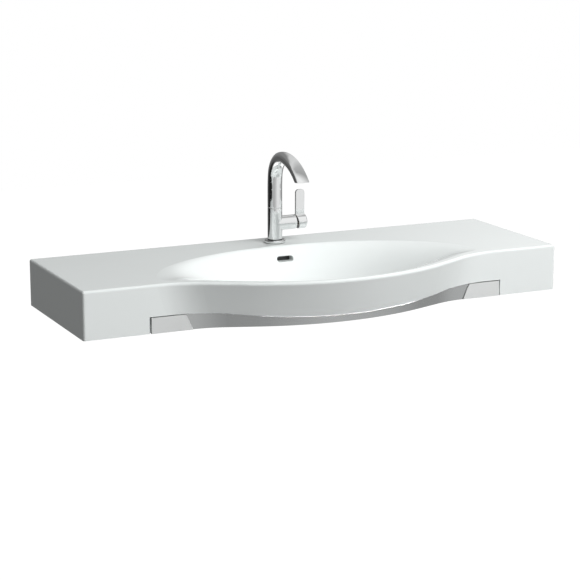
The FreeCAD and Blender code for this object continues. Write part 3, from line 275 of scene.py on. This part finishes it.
def skin(name, half, front, back, columns, rows, height, thickness):
    """A closed sheet of glazed china, whose upper face has a height at each place."""
    spots = spread_spots(half, front, back, columns, rows)
    upper = [(x, y, height(x, y)) for x, y in spots]
    lower = [(x, y, z - thickness) for x, y, z in upper]
    count = len(upper)
    faces = []
    for row in range(rows - 1):
        for column in range(columns - 1):
            first = row * columns + column
            face = (first, first + 1, first + columns + 1, first + columns)
            faces.append(face)
            faces.append(tuple(count + corner for corner in reversed(face)))
    rim = [*range(columns), *range(2 * columns - 1, count, columns),
           *range(count - 2, count - columns - 1, -1), *range(count - 2 * columns, 0, -columns)]
    for start, end in zip(rim, rim[1:] + rim[:1]):
        faces.append((end, start, count + start, count + end))
    mesh = bpy.data.meshes.new(name)
    mesh.from_pydata(upper + lower, [], faces)
    mesh.polygons.foreach_set("use_smooth", [True] * len(mesh.polygons))
    mesh.set_sharp_from_angle(angle=skin_crease)
    mesh.materials.append(glaze)
    piece = bpy.data.objects.new(name, mesh)
    bpy.context.scene.collection.objects.link(piece)
    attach(piece, root_body)


top_terms, top_heights, wall_terms, wall_depths = [], [], [], []
for x, y in spread_spots(wall_half, wall_front, wall_back, *sample_grid):
    met_top, top = basin.ray_cast(Vector((x, y, ray_top)), Vector((0, 0, -1)))[:2]
    met_under, under = basin.ray_cast(Vector((x, y, ray_bottom)), Vector((0, 0, 1)))[:2]
    if met_top and top.z > bowl_floor:
        top_terms.append(even_terms(x, y, *bowl_order))
        top_heights.append(top.z)
        if met_under and under.z < recess_roof:
            wall_terms.append(even_terms(x, y, *wall_order))
            wall_depths.append(top.z - under.z)
top_weights = numpy.linalg.lstsq(numpy.array(top_terms), numpy.array(top_heights), rcond=None)[0]
wall_weights = numpy.linalg.lstsq(numpy.array(wall_terms), numpy.array(wall_depths), rcond=None)[0]


def bowl_height(x, y):
    """The height of the bowl's own surface."""
    return float(numpy.dot(even_terms(x, y, *bowl_order), top_weights))


def under_height(x, y):
    """The height of the casting's underside below the bowl."""
    return bowl_height(x, y) - float(numpy.dot(even_terms(x, y, *wall_order), wall_weights))


skin("bowl_wall_inside", inside_half, inside_front, inside_back, *inside_grid,
     lambda x, y: bowl_height(x, y) + skin_gap, skin_thickness)
skin("bowl_wall_underside", wall_half, wall_front, wall_back, *underside_grid,
     lambda x, y: under_height(x, y) + skin_thickness - skin_gap, skin_thickness)


# The towel rail: a flat strip of brass, rolled to the apron's bow and chrome plated, with a die-cast plate
# that closes each end. Screws hold it from behind, with spacer sleeves and inserts in the ceramic.
satin = grained("satin_chrome", (0.44, 0.452, 0.45), shade=0.05, broad=7, fine=240,
                least=0.2, most=0.28, bump=0.02, metallic=1.0)
pale = grained("light_plate", (0.72, 0.735, 0.73), shade=0.03, broad=12, fine=200,
               least=0.18, most=0.26, bump=0.02)
coat_node("towel_rail", satin)
coat_node("rail_end_plate_left", pale)
coat_node("rail_end_plate_right", pale)
zinc = grained("zinc_steel", (0.55, 0.56, 0.58), shade=0.2, broad=60, fine=500,
               least=0.25, most=0.4, bump=0.05, metallic=1.0)
white_nylon = grained("white_plastic", (0.78, 0.78, 0.76), shade=0.05, broad=30, fine=400,
                      least=0.35, most=0.5, bump=0.05)
grey_nylon = grained("grey_plastic", (0.25, 0.26, 0.27), shade=0.1, broad=30, fine=400,
                     least=0.4, most=0.55, bump=0.08)
coat_node("rail_screws", zinc)
coat_node("rail_sleeves", grey_nylon)
coat_node("rail_inserts", white_nylon)


# The tap's foot and body: forged brass, turned, polished and chromed, on a thin rubber seal, held under the
# shelf by a stud, a steel horseshoe on a rubber one, and a nut. The spout and the lever are chromed alike.
chrome_skin = {"colour": (0.85, 0.86, 0.86), "shade": 0.04, "broad": 9, "fine": 160,
               "least": 0.03, "most": 0.07, "bump": 0.01, "metallic": 1.0, "rounding": 0.002}
chrome = grained("chrome", **chrome_skin)
rubber = grained("black_rubber", (0.02, 0.02, 0.021), shade=0.2, broad=80, fine=700,
                 least=0.55, most=0.75, bump=0.2)
gasket = grained("clear_gasket", (0.5, 0.52, 0.53), shade=0.1, broad=60, fine=500,
                 least=0.3, most=0.45, bump=0.05)
brass = grained("brass", (0.72, 0.5, 0.2), shade=0.15, broad=70, fine=600,
                least=0.18, most=0.32, bump=0.05, metallic=1.0)
for node in ("tap_base_ring", "spout", "lever"):
    coat_node(node, chrome)
# The body has its own copy of the chrome for a painted shadow: a dark band over its lowest 2 mm, where it
# stands on the base ring.
body_chrome = grained("chrome_body", **chrome_skin)
foot_joint, joint_above, joint_whole = 0.068, 0.0022, 0.0012
joint_shadow, joint_roughness = (0.04, 0.042, 0.042), 0.4
painted_joint_shade = edge(body_chrome, axes_of(body_chrome)["Z"], foot_joint + joint_above, foot_joint + joint_whole)
lay_over(body_chrome, painted_joint_shade, joint_shadow, joint_roughness)
coat_node("tap_body", body_chrome)
coat_node("tap_base_seal", rubber)
coat_node("clamp_rubber", rubber)
coat_node("clamp_horseshoe", zinc)
coat_node("tap_stud", zinc)
coat_node("tap_fixing_nut", brass)
turn_steps, ridge_sides = 28, 6


def thread_tree():
    """Geometry nodes: one thread ridge that climbs a round bar."""
    tree = bpy.data.node_groups.new("thread", "GeometryNodeTree")
    face = tree.interface.new_socket
    for name, kind in (("Radius", "Float"), ("Pitch", "Float"), ("Length", "Float"), ("Ridge", "Float")):
        face(name, in_out="INPUT", socket_type="NodeSocket" + kind)
    face("Place", in_out="INPUT", socket_type="NodeSocketVector")
    face("Turn", in_out="INPUT", socket_type="NodeSocketVector")
    face("Finish", in_out="INPUT", socket_type="NodeSocketMaterial")
    face("Geometry", in_out="OUTPUT", socket_type="NodeSocketGeometry")
    nodes, link = tree.nodes, tree.links.new
    given, out = nodes.new("NodeGroupInput"), nodes.new("NodeGroupOutput")
    turns = nodes.new("ShaderNodeMath")
    turns.operation = "DIVIDE"
    link(given.outputs["Length"], turns.inputs[0])
    link(given.outputs["Pitch"], turns.inputs[1])
    climb = nodes.new("GeometryNodeCurveSpiral")
    climb.inputs["Resolution"].default_value = turn_steps
    link(turns.outputs["Value"], climb.inputs["Rotations"])
    link(given.outputs["Radius"], climb.inputs["Start Radius"])
    link(given.outputs["Radius"], climb.inputs["End Radius"])
    link(given.outputs["Length"], climb.inputs["Height"])
    section = nodes.new("GeometryNodeCurvePrimitiveCircle")
    section.inputs["Resolution"].default_value = ridge_sides
    link(given.outputs["Ridge"], section.inputs["Radius"])
    swept = nodes.new("GeometryNodeCurveToMesh")
    link(climb.outputs["Curve"], swept.inputs["Curve"])
    link(section.outputs["Curve"], swept.inputs["Profile Curve"])
    swept.inputs["Fill Caps"].default_value = True
    moved = nodes.new("GeometryNodeTransform")
    link(swept.outputs["Mesh"], moved.inputs["Geometry"])
    link(given.outputs["Place"], moved.inputs["Translation"])
    link(given.outputs["Turn"], moved.inputs["Rotation"])
    real = nodes.new("GeometryNodeRealizeInstances")
    link(moved.outputs["Geometry"], real.inputs["Geometry"])
    smooth = nodes.new("GeometryNodeSetShadeSmooth")
    link(real.outputs["Geometry"], smooth.inputs["Geometry"])
    painted = nodes.new("GeometryNodeSetMaterial")
    link(smooth.outputs["Geometry"], painted.inputs["Geometry"])
    link(given.outputs["Finish"], painted.inputs["Material"])
    link(painted.outputs["Geometry"], out.inputs["Geometry"])
    return tree


thread = thread_tree()


def plain_mesh(name, tree, values):
    """The result of a geometry node tree with its inputs set, as a plain mesh object."""
    maker = bpy.data.objects.new(name + "_maker", bpy.data.meshes.new(name + "_maker"))
    bpy.context.scene.collection.objects.link(maker)
    modifier = maker.modifiers.new("maker", "NODES")
    modifier.node_group = tree
    for item in tree.interface.items_tree:
        if item.in_out == "INPUT" and item.name in values:
            modifier[item.identifier] = values[item.name]
    bpy.context.view_layer.update()
    seen = maker.evaluated_get(bpy.context.evaluated_depsgraph_get())
    mesh = bpy.data.meshes.new_from_object(seen)
    mesh.name = name
    maker.modifiers.remove(modifier)
    bpy.data.objects.remove(maker)
    piece = bpy.data.objects.new(name, mesh)
    bpy.context.scene.collection.objects.link(piece)
    return piece


def threaded(name, radius, pitch, length, ridge, place, turn, finish_of, body):
    """A thread on a bar of the CAD's radius, riding with the bar."""
    piece = plain_mesh(name, thread, {"Radius": radius, "Pitch": pitch, "Length": length, "Ridge": ridge,
                                      "Place": place, "Turn": turn, "Finish": finish_of})
    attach(piece, body)


nut_steps, nut_face_share, nut_crease = 72, 0.97, math.radians(25)
half_side = math.pi / 6


def hex_nut(name, node, bore, finish_of):
    """A chamfered hexagon nut in the place and height of a CAD node, its corners on the node's outline."""
    low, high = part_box(node)
    middle = (low + high) / 2
    corner = (high.x - low.x) / 2
    flat = corner * math.cos(half_side)
    face_radius = flat * nut_face_share
    rings = []
    for level, toward, kind in ((low.z, 1, "bore"), (low.z, 1, "face"), (low.z, 1, "hex"),
                                (high.z, -1, "hex"), (high.z, -1, "face"), (high.z, -1, "bore")):
        ring = []
        for step in range(nut_steps):
            angle = 2 * math.pi * step / nut_steps
            outline = flat / math.cos((angle + half_side) % (2 * half_side) - half_side)
            radius = {"bore": bore, "face": face_radius, "hex": outline}[kind]
            drop = (outline - face_radius) * math.tan(half_side) if kind == "hex" else 0
            ring.append((middle.x + radius * math.cos(angle), middle.y + radius * math.sin(angle),
                         level + toward * drop))
        rings.append(ring)
    faces = []
    for row in range(len(rings)):
        for step in range(nut_steps):
            after, beside = (row + 1) % len(rings), (step + 1) % nut_steps
            faces.append((row * nut_steps + step, row * nut_steps + beside,
                          after * nut_steps + beside, after * nut_steps + step))
    mesh = bpy.data.meshes.new(name)
    mesh.from_pydata([spot for ring in rings for spot in ring], [], faces)
    shell = bmesh.new()
    shell.from_mesh(mesh)
    bmesh.ops.recalc_face_normals(shell, faces=shell.faces)
    shell.to_mesh(mesh)
    shell.free()
    mesh.polygons.foreach_set("use_smooth", [True] * len(mesh.polygons))
    mesh.set_sharp_from_angle(angle=nut_crease)
    mesh.materials.append(finish_of)
    piece = bpy.data.objects.new(name, mesh)
    bpy.context.scene.collection.objects.link(piece)
    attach(piece, root_body)
    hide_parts(node)


fixing_bore = 0.0041
hex_nut("fixing_nut", "tap_fixing_nut", fixing_bore, brass)
stud_radius, stud_pitch, stud_thread_length, stud_ridge = 0.0039, 0.00125, 0.022, 0.00035
stud_thread_foot = (0, -0.056, 0.0092)
threaded("stud_thread", stud_radius, stud_pitch, stud_thread_length, stud_ridge, stud_thread_foot,
         (0, 0, 0), zinc, root_body)


# The cartridge: two lapped ceramic discs in a nylon housing, moved by a steel stem that turns and tilts, and
# held in the barrel by a brass nut. The lever's and the spout's small screws, rings and seals go in with it.
disc = grained("disc_ceramic", (0.8, 0.79, 0.75), shade=0.04, broad=60, fine=900,
               least=0.12, most=0.2, bump=0.01)
spring_steel = grained("spring_steel", (0.42, 0.42, 0.43), shade=0.1, broad=90, fine=700,
                       least=0.2, most=0.32, bump=0.03, metallic=1.0)
for node, material in (
    ("cartridge_seal", rubber), ("cartridge_housing", white_nylon), ("cartridge_fixed_disc", disc),
    ("cartridge_moving_disc", disc), ("cartridge_carrier", grey_nylon),
    ("cartridge_pivot_pin", spring_steel), ("cartridge_stem", spring_steel),
    ("cartridge_cover", white_nylon), ("cartridge_nut", brass), ("lever_grub_screw", spring_steel),
    ("lever_plug", chrome), ("outlet_seal", rubber), ("spout_sealing_rings", rubber),
    ("spout_slip_ring", white_nylon), ("spout_stop_screw", spring_steel),
):
    coat_node(node, material)


# The outlet: a moulded net in a rubber seal, both pressed into the blade's end from below. The blade's front
# wall runs on over them, so they sit low enough to leave it whole.
net = grained("outlet_net", (0.25, 0.26, 0.27), shade=0.1, broad=30, fine=400,
              least=0.4, most=0.55, bump=0.08)
# Painted shade: the cells of the net are painted near black, standing in for the shade seen through its
# holes; the bars between them keep the grey.
cell_scale, cell_unevenness, bar_edge, hole_edge = 620, 0.12, 0.08, 0.16
hole_shadow, hole_roughness = (0.03, 0.03, 0.032), 0.6
cells = net.node_tree.nodes.new("ShaderNodeTexVoronoi")
cells.feature = "DISTANCE_TO_EDGE"
cells.inputs["Scale"].default_value = cell_scale
cells.inputs["Randomness"].default_value = cell_unevenness
net_place = net.node_tree.nodes.new("ShaderNodeTexCoord")
net.node_tree.links.new(net_place.outputs["Object"], cells.inputs["Vector"])
painted_hole_shade = edge(net, cells.outputs["Distance"], bar_edge, hole_edge)
lay_over(net, painted_hole_shade, hole_shadow, hole_roughness)
coat_node("outlet_insert", net)

spout_body = frame["nodes"]["spout"]["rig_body"]
blade_y, blade_z, blade_radius = -0.114542, 0.134896, 0.1395
front_rise, crown_radius = 0.00763, 0.06852
mouth_lean, mouth_sweep, mouth_half = 131.2, 8.0, 0.01415
mouth_columns, mouth_rows = 29, 13
mouth_spots = []
for row in range(mouth_rows):
    lean = math.radians(mouth_lean + mouth_sweep * row / (mouth_rows - 1))
    for column in range(mouth_columns):
        across = mouth_half * (2 * column / (mouth_columns - 1) - 1)
        through = front_rise - crown_radius * (1 - math.cos(math.asin(across / crown_radius)))
        reach = blade_radius + through
        mouth_spots.append((across, blade_y + reach * math.cos(lean), blade_z + reach * math.sin(lean)))
mouth_faces = []
for row in range(mouth_rows - 1):
    for column in range(mouth_columns - 1):
        first = row * mouth_columns + column
        mouth_faces.append((first, first + 1, first + mouth_columns + 1, first + mouth_columns))
mouth_mesh = bpy.data.meshes.new("outlet_wall")
mouth_mesh.from_pydata(mouth_spots, [], mouth_faces)
if mouth_mesh.polygons[0].normal.z < 0:
    mouth_mesh.flip_normals()
mouth_mesh.polygons.foreach_set("use_smooth", [True] * len(mouth_mesh.polygons))
mouth_mesh.materials.append(chrome)
outlet_wall = bpy.data.objects.new("outlet_wall", mouth_mesh)
bpy.context.scene.collection.objects.link(outlet_wall)
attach(outlet_wall, spout_body)
insert_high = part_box("outlet_insert")[1]
rim_depth, sunk_level, rim_kept = 0.003, 0.2339, 0.5
for name, node, material, slot in (("outlet_grid", "outlet_insert", net, "grey_plastic"),
                                   ("outlet_gasket", "outlet_seal", rubber, "black_rubber")):
    sunk = frame["nodes"][node].data.copy()
    for vertex in sunk.vertices:
        over = vertex.co.z - insert_high.z
        if over > -rim_depth:
            vertex.co.z = sunk_level + max(over, 0) * rim_kept
    sunk.materials.clear()
    sunk.materials.append(material)
    piece = bpy.data.objects.new(name, sunk)
    bpy.context.scene.collection.objects.link(piece)
    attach(piece, spout_body)
    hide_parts(node)


# The waste: a chromed brass flange and threaded tail through the bowl, clamped from below by a washer and a
# brass nut. A push-down plug stands in it on a steel spring and a latch.
tail_radius, tail_pitch, tail_thread_length, tail_ridge = 0.0208, 0.0023, 0.0135, 0.00045
tail_thread_foot = (0, -0.255, -0.0955)
threaded("tail_thread", tail_radius, tail_pitch, tail_thread_length, tail_ridge, tail_thread_foot,
         (0, 0, 0), chrome, root_body)
spring_low, spring_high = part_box("waste_spring")
spring_wire, spring_pitch = 0.0007, 0.0033
coil = plain_mesh("spring_coil", thread, {
    "Radius": (spring_high.x - spring_low.x) / 2 - spring_wire, "Pitch": spring_pitch,
    "Length": spring_high.z - spring_low.z - 2 * spring_wire, "Ridge": spring_wire,
    "Place": (0, (spring_low.y + spring_high.y) / 2, spring_low.z + spring_wire), "Turn": (0, 0, 0),
    "Finish": spring_steel})
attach(coil, root_body)
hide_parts("waste_spring")
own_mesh(coil)
tail_bore = 0.0212
hex_nut("back_nut", "waste_back_nut", tail_bore, brass)
for node, material in (
    ("waste_flange_seal", gasket), ("waste_body", chrome), ("waste_latch_barrel", white_nylon),
    ("waste_plug", chrome), ("waste_plug_seal", rubber), ("waste_plug_stem", brass),
    ("waste_spring", spring_steel), ("waste_rubber_washer", rubber), ("waste_slip_washer", white_nylon),
    ("waste_back_nut", brass),
):
    coat_node(node, material)


# The studio: a white floor far under the basin, a white backdrop, soft light mostly from the front and the
# rear right, and a ring of bright and dark panels that only the shining surfaces see.
def flat_sheet(name, low, high, level):
    """A level rectangle that faces up, from its low corner to its high one."""
    mesh = bpy.data.meshes.new(name)
    mesh.from_pydata([(low[0], low[1], level), (high[0], low[1], level),
                      (high[0], high[1], level), (low[0], high[1], level)], [], [(0, 1, 2, 3)])
    return mesh


floor_half, floor_level = 6, -0.85
paper_grey, paper_roughness = 0.08, 0.95
floor_mesh = flat_sheet("floor", (-floor_half, -floor_half), (floor_half, floor_half), floor_level)
floor = bpy.data.objects.new("floor", floor_mesh)
bpy.context.scene.collection.objects.link(floor)
floor.visible_glossy = False
paper, paper_shader, paper_node, paper_link = finish("floor_paper")
paper_shader.inputs["Base Color"].default_value = (paper_grey, paper_grey, paper_grey, 1)
paper_shader.inputs["Roughness"].default_value = paper_roughness
paper_shader.inputs["Specular IOR Level"].default_value = 0.0
glow = paper_node("ShaderNodeEmission", Strength=1.0)
glow.inputs["Color"].default_value = (1, 1, 1, 1)
rays = paper_node("ShaderNodeLightPath")
both_lit = paper_node("ShaderNodeAddShader")
blend = paper_node("ShaderNodeMixShader")
paper_link(paper_shader.outputs["BSDF"], both_lit.inputs[0])
paper_link(glow.outputs["Emission"], both_lit.inputs[1])
paper_link(rays.outputs["Is Camera Ray"], blend.inputs["Fac"])
paper_link(paper_shader.outputs["BSDF"], blend.inputs[1])
paper_link(both_lit.outputs["Shader"], blend.inputs[2])
beneath = paper_node("ShaderNodeNewGeometry")
clear = paper_node("ShaderNodeBsdfTransparent")
one_sided = paper_node("ShaderNodeMixShader")
paper_link(beneath.outputs["Backfacing"], one_sided.inputs["Fac"])
paper_link(blend.outputs["Shader"], one_sided.inputs[1])
paper_link(clear.outputs["BSDF"], one_sided.inputs[2])
paper_link(one_sided.outputs["Shader"], paper.node_tree.nodes["Material Output"].inputs["Surface"])
floor_mesh.materials.append(paper)

studio = bpy.data.worlds.new("studio")
bpy.context.scene.world = studio
studio.use_nodes = True
sky, sky_link = studio.node_tree.nodes, studio.node_tree.links.new
direction = sky.new("ShaderNodeTexCoord")
parts = sky.new("ShaderNodeSeparateXYZ")
sky_link(direction.outputs["Generated"], parts.inputs["Vector"])
compass = sky.new("ShaderNodeMath")
compass.operation = "ARCTAN2"
sky_link(parts.outputs["Y"], compass.inputs[0])
sky_link(parts.outputs["X"], compass.inputs[1])
around = sky.new("ShaderNodeMapRange")
sky_link(compass.outputs["Value"], around.inputs["Value"])
around.inputs["From Min"].default_value = -math.pi
around.inputs["From Max"].default_value = math.pi


def panels(stops):
    """Brightness around the horizon: pairs of an angle from +X towards +Y, in degrees, and a grey level."""
    ramp = sky.new("ShaderNodeValToRGB")
    sky_link(around.outputs["Result"], ramp.inputs["Fac"])
    levels = ramp.color_ramp.elements
    levels.remove(levels[1])
    for count, (angle, grey) in enumerate(stops):
        place = (angle + 180) / 360
        level = levels[0] if count == 0 else levels.new(place)
        level.position = place
        level.color = (grey, grey, grey, 1)
    return ramp.outputs["Color"]


def upward(start, end):
    """A mask that rises with the height of the direction, from the horizon at 0 to straight up at 1."""
    rise = sky.new("ShaderNodeMapRange")
    rise.interpolation_type = "SMOOTHSTEP"
    sky_link(parts.outputs["Z"], rise.inputs["Value"])
    rise.inputs["From Min"].default_value = start
    rise.inputs["From Max"].default_value = end
    return rise.outputs["Result"]


def fade(mask, below, above):
    """Goes from one brightness to another with a mask; either may be a plain grey level."""
    mixer = sky.new("ShaderNodeMix")
    mixer.data_type = "RGBA"
    sky_link(mask, mixer.inputs["Factor"])
    for socket, value in (("A", below), ("B", above)):
        if isinstance(value, float):
            mixer.inputs[socket].default_value = (value, value, value, 1)
        else:
            sky_link(value, mixer.inputs[socket])
    return mixer.outputs["Result"]


wide_light = panels((
    (-180, 0.22), (-150, 0.16), (-120, 0.42), (-90, 0.92), (-60, 1.0), (-30, 0.82), (0, 0.5),
    (30, 0.67), (60, 0.89), (90, 0.88), (120, 0.66), (150, 0.38), (180, 0.22)))
ceiling_light = 0.2
soft_light = fade(upward(0.45, 0.85), wide_light, ceiling_light)
low_panels = panels((
    (-180, 0.01), (-163, 0.01), (-155, 0.45), (-115, 0.5), (-92, 0.72), (-70, 0.9), (-41, 0.85),
    (-20, 0.62), (0, 0.35), (65, 0.3), (90, 0.25), (105, 0.14), (121, 0.1), (130, 0.03), (180, 0.01)))
high_panels = panels((
    (-180, 0.12), (-150, 0.35), (-110, 0.9), (-40, 1.0), (-20, 0.8), (5, 0.42), (30, 0.5),
    (48, 0.75), (58, 0.7), (65, 0.26), (90, 0.24), (120, 0.15), (180, 0.12)))
ground_shine, ceiling_shine = 1.6, 0.8
lower_half = fade(upward(-0.75, -0.5), ground_shine, low_panels)
both_halves = fade(upward(0.0, 0.3), lower_half, high_panels)
mirrored = fade(upward(0.96, 1.0), both_halves, ceiling_shine)
sight = sky.new("ShaderNodeLightPath")
ambient = sky["Background"]
ambient.inputs["Strength"].default_value = 1.0
sky_link(fade(sight.outputs["Is Glossy Ray"], soft_light, mirrored), ambient.inputs["Color"])
backdrop = sky.new("ShaderNodeBackground")
backdrop.inputs["Color"].default_value = (1, 1, 1, 1)
direct = sky.new("ShaderNodeMath")
direct.operation = "MAXIMUM"
sky_link(sight.outputs["Is Camera Ray"], direct.inputs[0])
sky_link(sight.outputs["Is Transmission Ray"], direct.inputs[1])
choice = sky.new("ShaderNodeMixShader")
sky_link(direct.outputs["Value"], choice.inputs["Fac"])
sky_link(ambient.outputs["Background"], choice.inputs[1])
sky_link(backdrop.outputs["Background"], choice.inputs[2])
sky_link(choice.outputs["Shader"], sky["World Output"].inputs["Surface"])

lit_point = Vector((0, -0.2, 0))
for name, place, size, power in (
    ("soft_box_right", (2.2, -1.8, 1.5), 1.4, 18),
    ("soft_box_front", (0.6, -3.6, 2.1), 1.6, 32),
    ("soft_box_high", (0.7, -2.2, 3.2), 1.6, 36),
    ("soft_box_high_right", (2.0, -3.0, 3.0), 1.6, 42),
    ("soft_box_rear", (1.6, 1.2, 1.8), 1.2, 19),
):
    lamp_data = bpy.data.lights.new(name, "AREA")
    lamp_data.shape = "SQUARE"
    lamp_data.size = size
    lamp_data.energy = power
    lamp = bpy.data.objects.new(name, lamp_data)
    lamp.location = place
    lamp.rotation_euler = (lit_point - Vector(place)).to_track_quat("-Z", "Y").to_euler()
    lamp.visible_glossy = False
    bpy.context.scene.collection.objects.link(lamp)


# The lip's line of light: a bright card with soft edges under the basin, which only the shining surfaces see.
# It fades from its outline to the full brightness inside.
card_low, card_high, card_level = (-0.16, -0.4), (0.82, 0.2), -0.6
full_low, full_high, card_brightness = (0.0, -0.3), (0.6, 0.08), 30
card_mesh = flat_sheet("lip_card", card_low, card_high, card_level)
lip_card = bpy.data.objects.new("lip_card", card_mesh)
bpy.context.scene.collection.objects.link(lip_card)
for way in ("camera", "diffuse", "transmission", "volume_scatter", "shadow"):
    setattr(lip_card, "visible_" + way, False)
shine = finish("lip_card_shine")[0]
shine_nodes, shine_link = shine.node_tree.nodes, shine.node_tree.links.new
card_axes = axes_of(shine)
soft_across = both(shine, edge(shine, card_axes["X"], card_low[0], full_low[0]),
                   edge(shine, card_axes["X"], card_high[0], full_high[0]))
soft_along = both(shine, edge(shine, card_axes["Y"], card_low[1], full_low[1]),
                  edge(shine, card_axes["Y"], card_high[1], full_high[1]))
card_power = shine_nodes.new("ShaderNodeMath")
card_power.operation = "MULTIPLY"
shine_link(both(shine, soft_across, soft_along), card_power.inputs[0])
card_power.inputs[1].default_value = card_brightness
card_glow = shine_nodes.new("ShaderNodeEmission")
card_glow.inputs["Color"].default_value = (1, 1, 1, 1)
shine_link(card_power.outputs["Value"], card_glow.inputs["Strength"])
shine_link(card_glow.outputs["Emission"], shine_nodes["Material Output"].inputs["Surface"])
card_mesh.materials.append(shine)
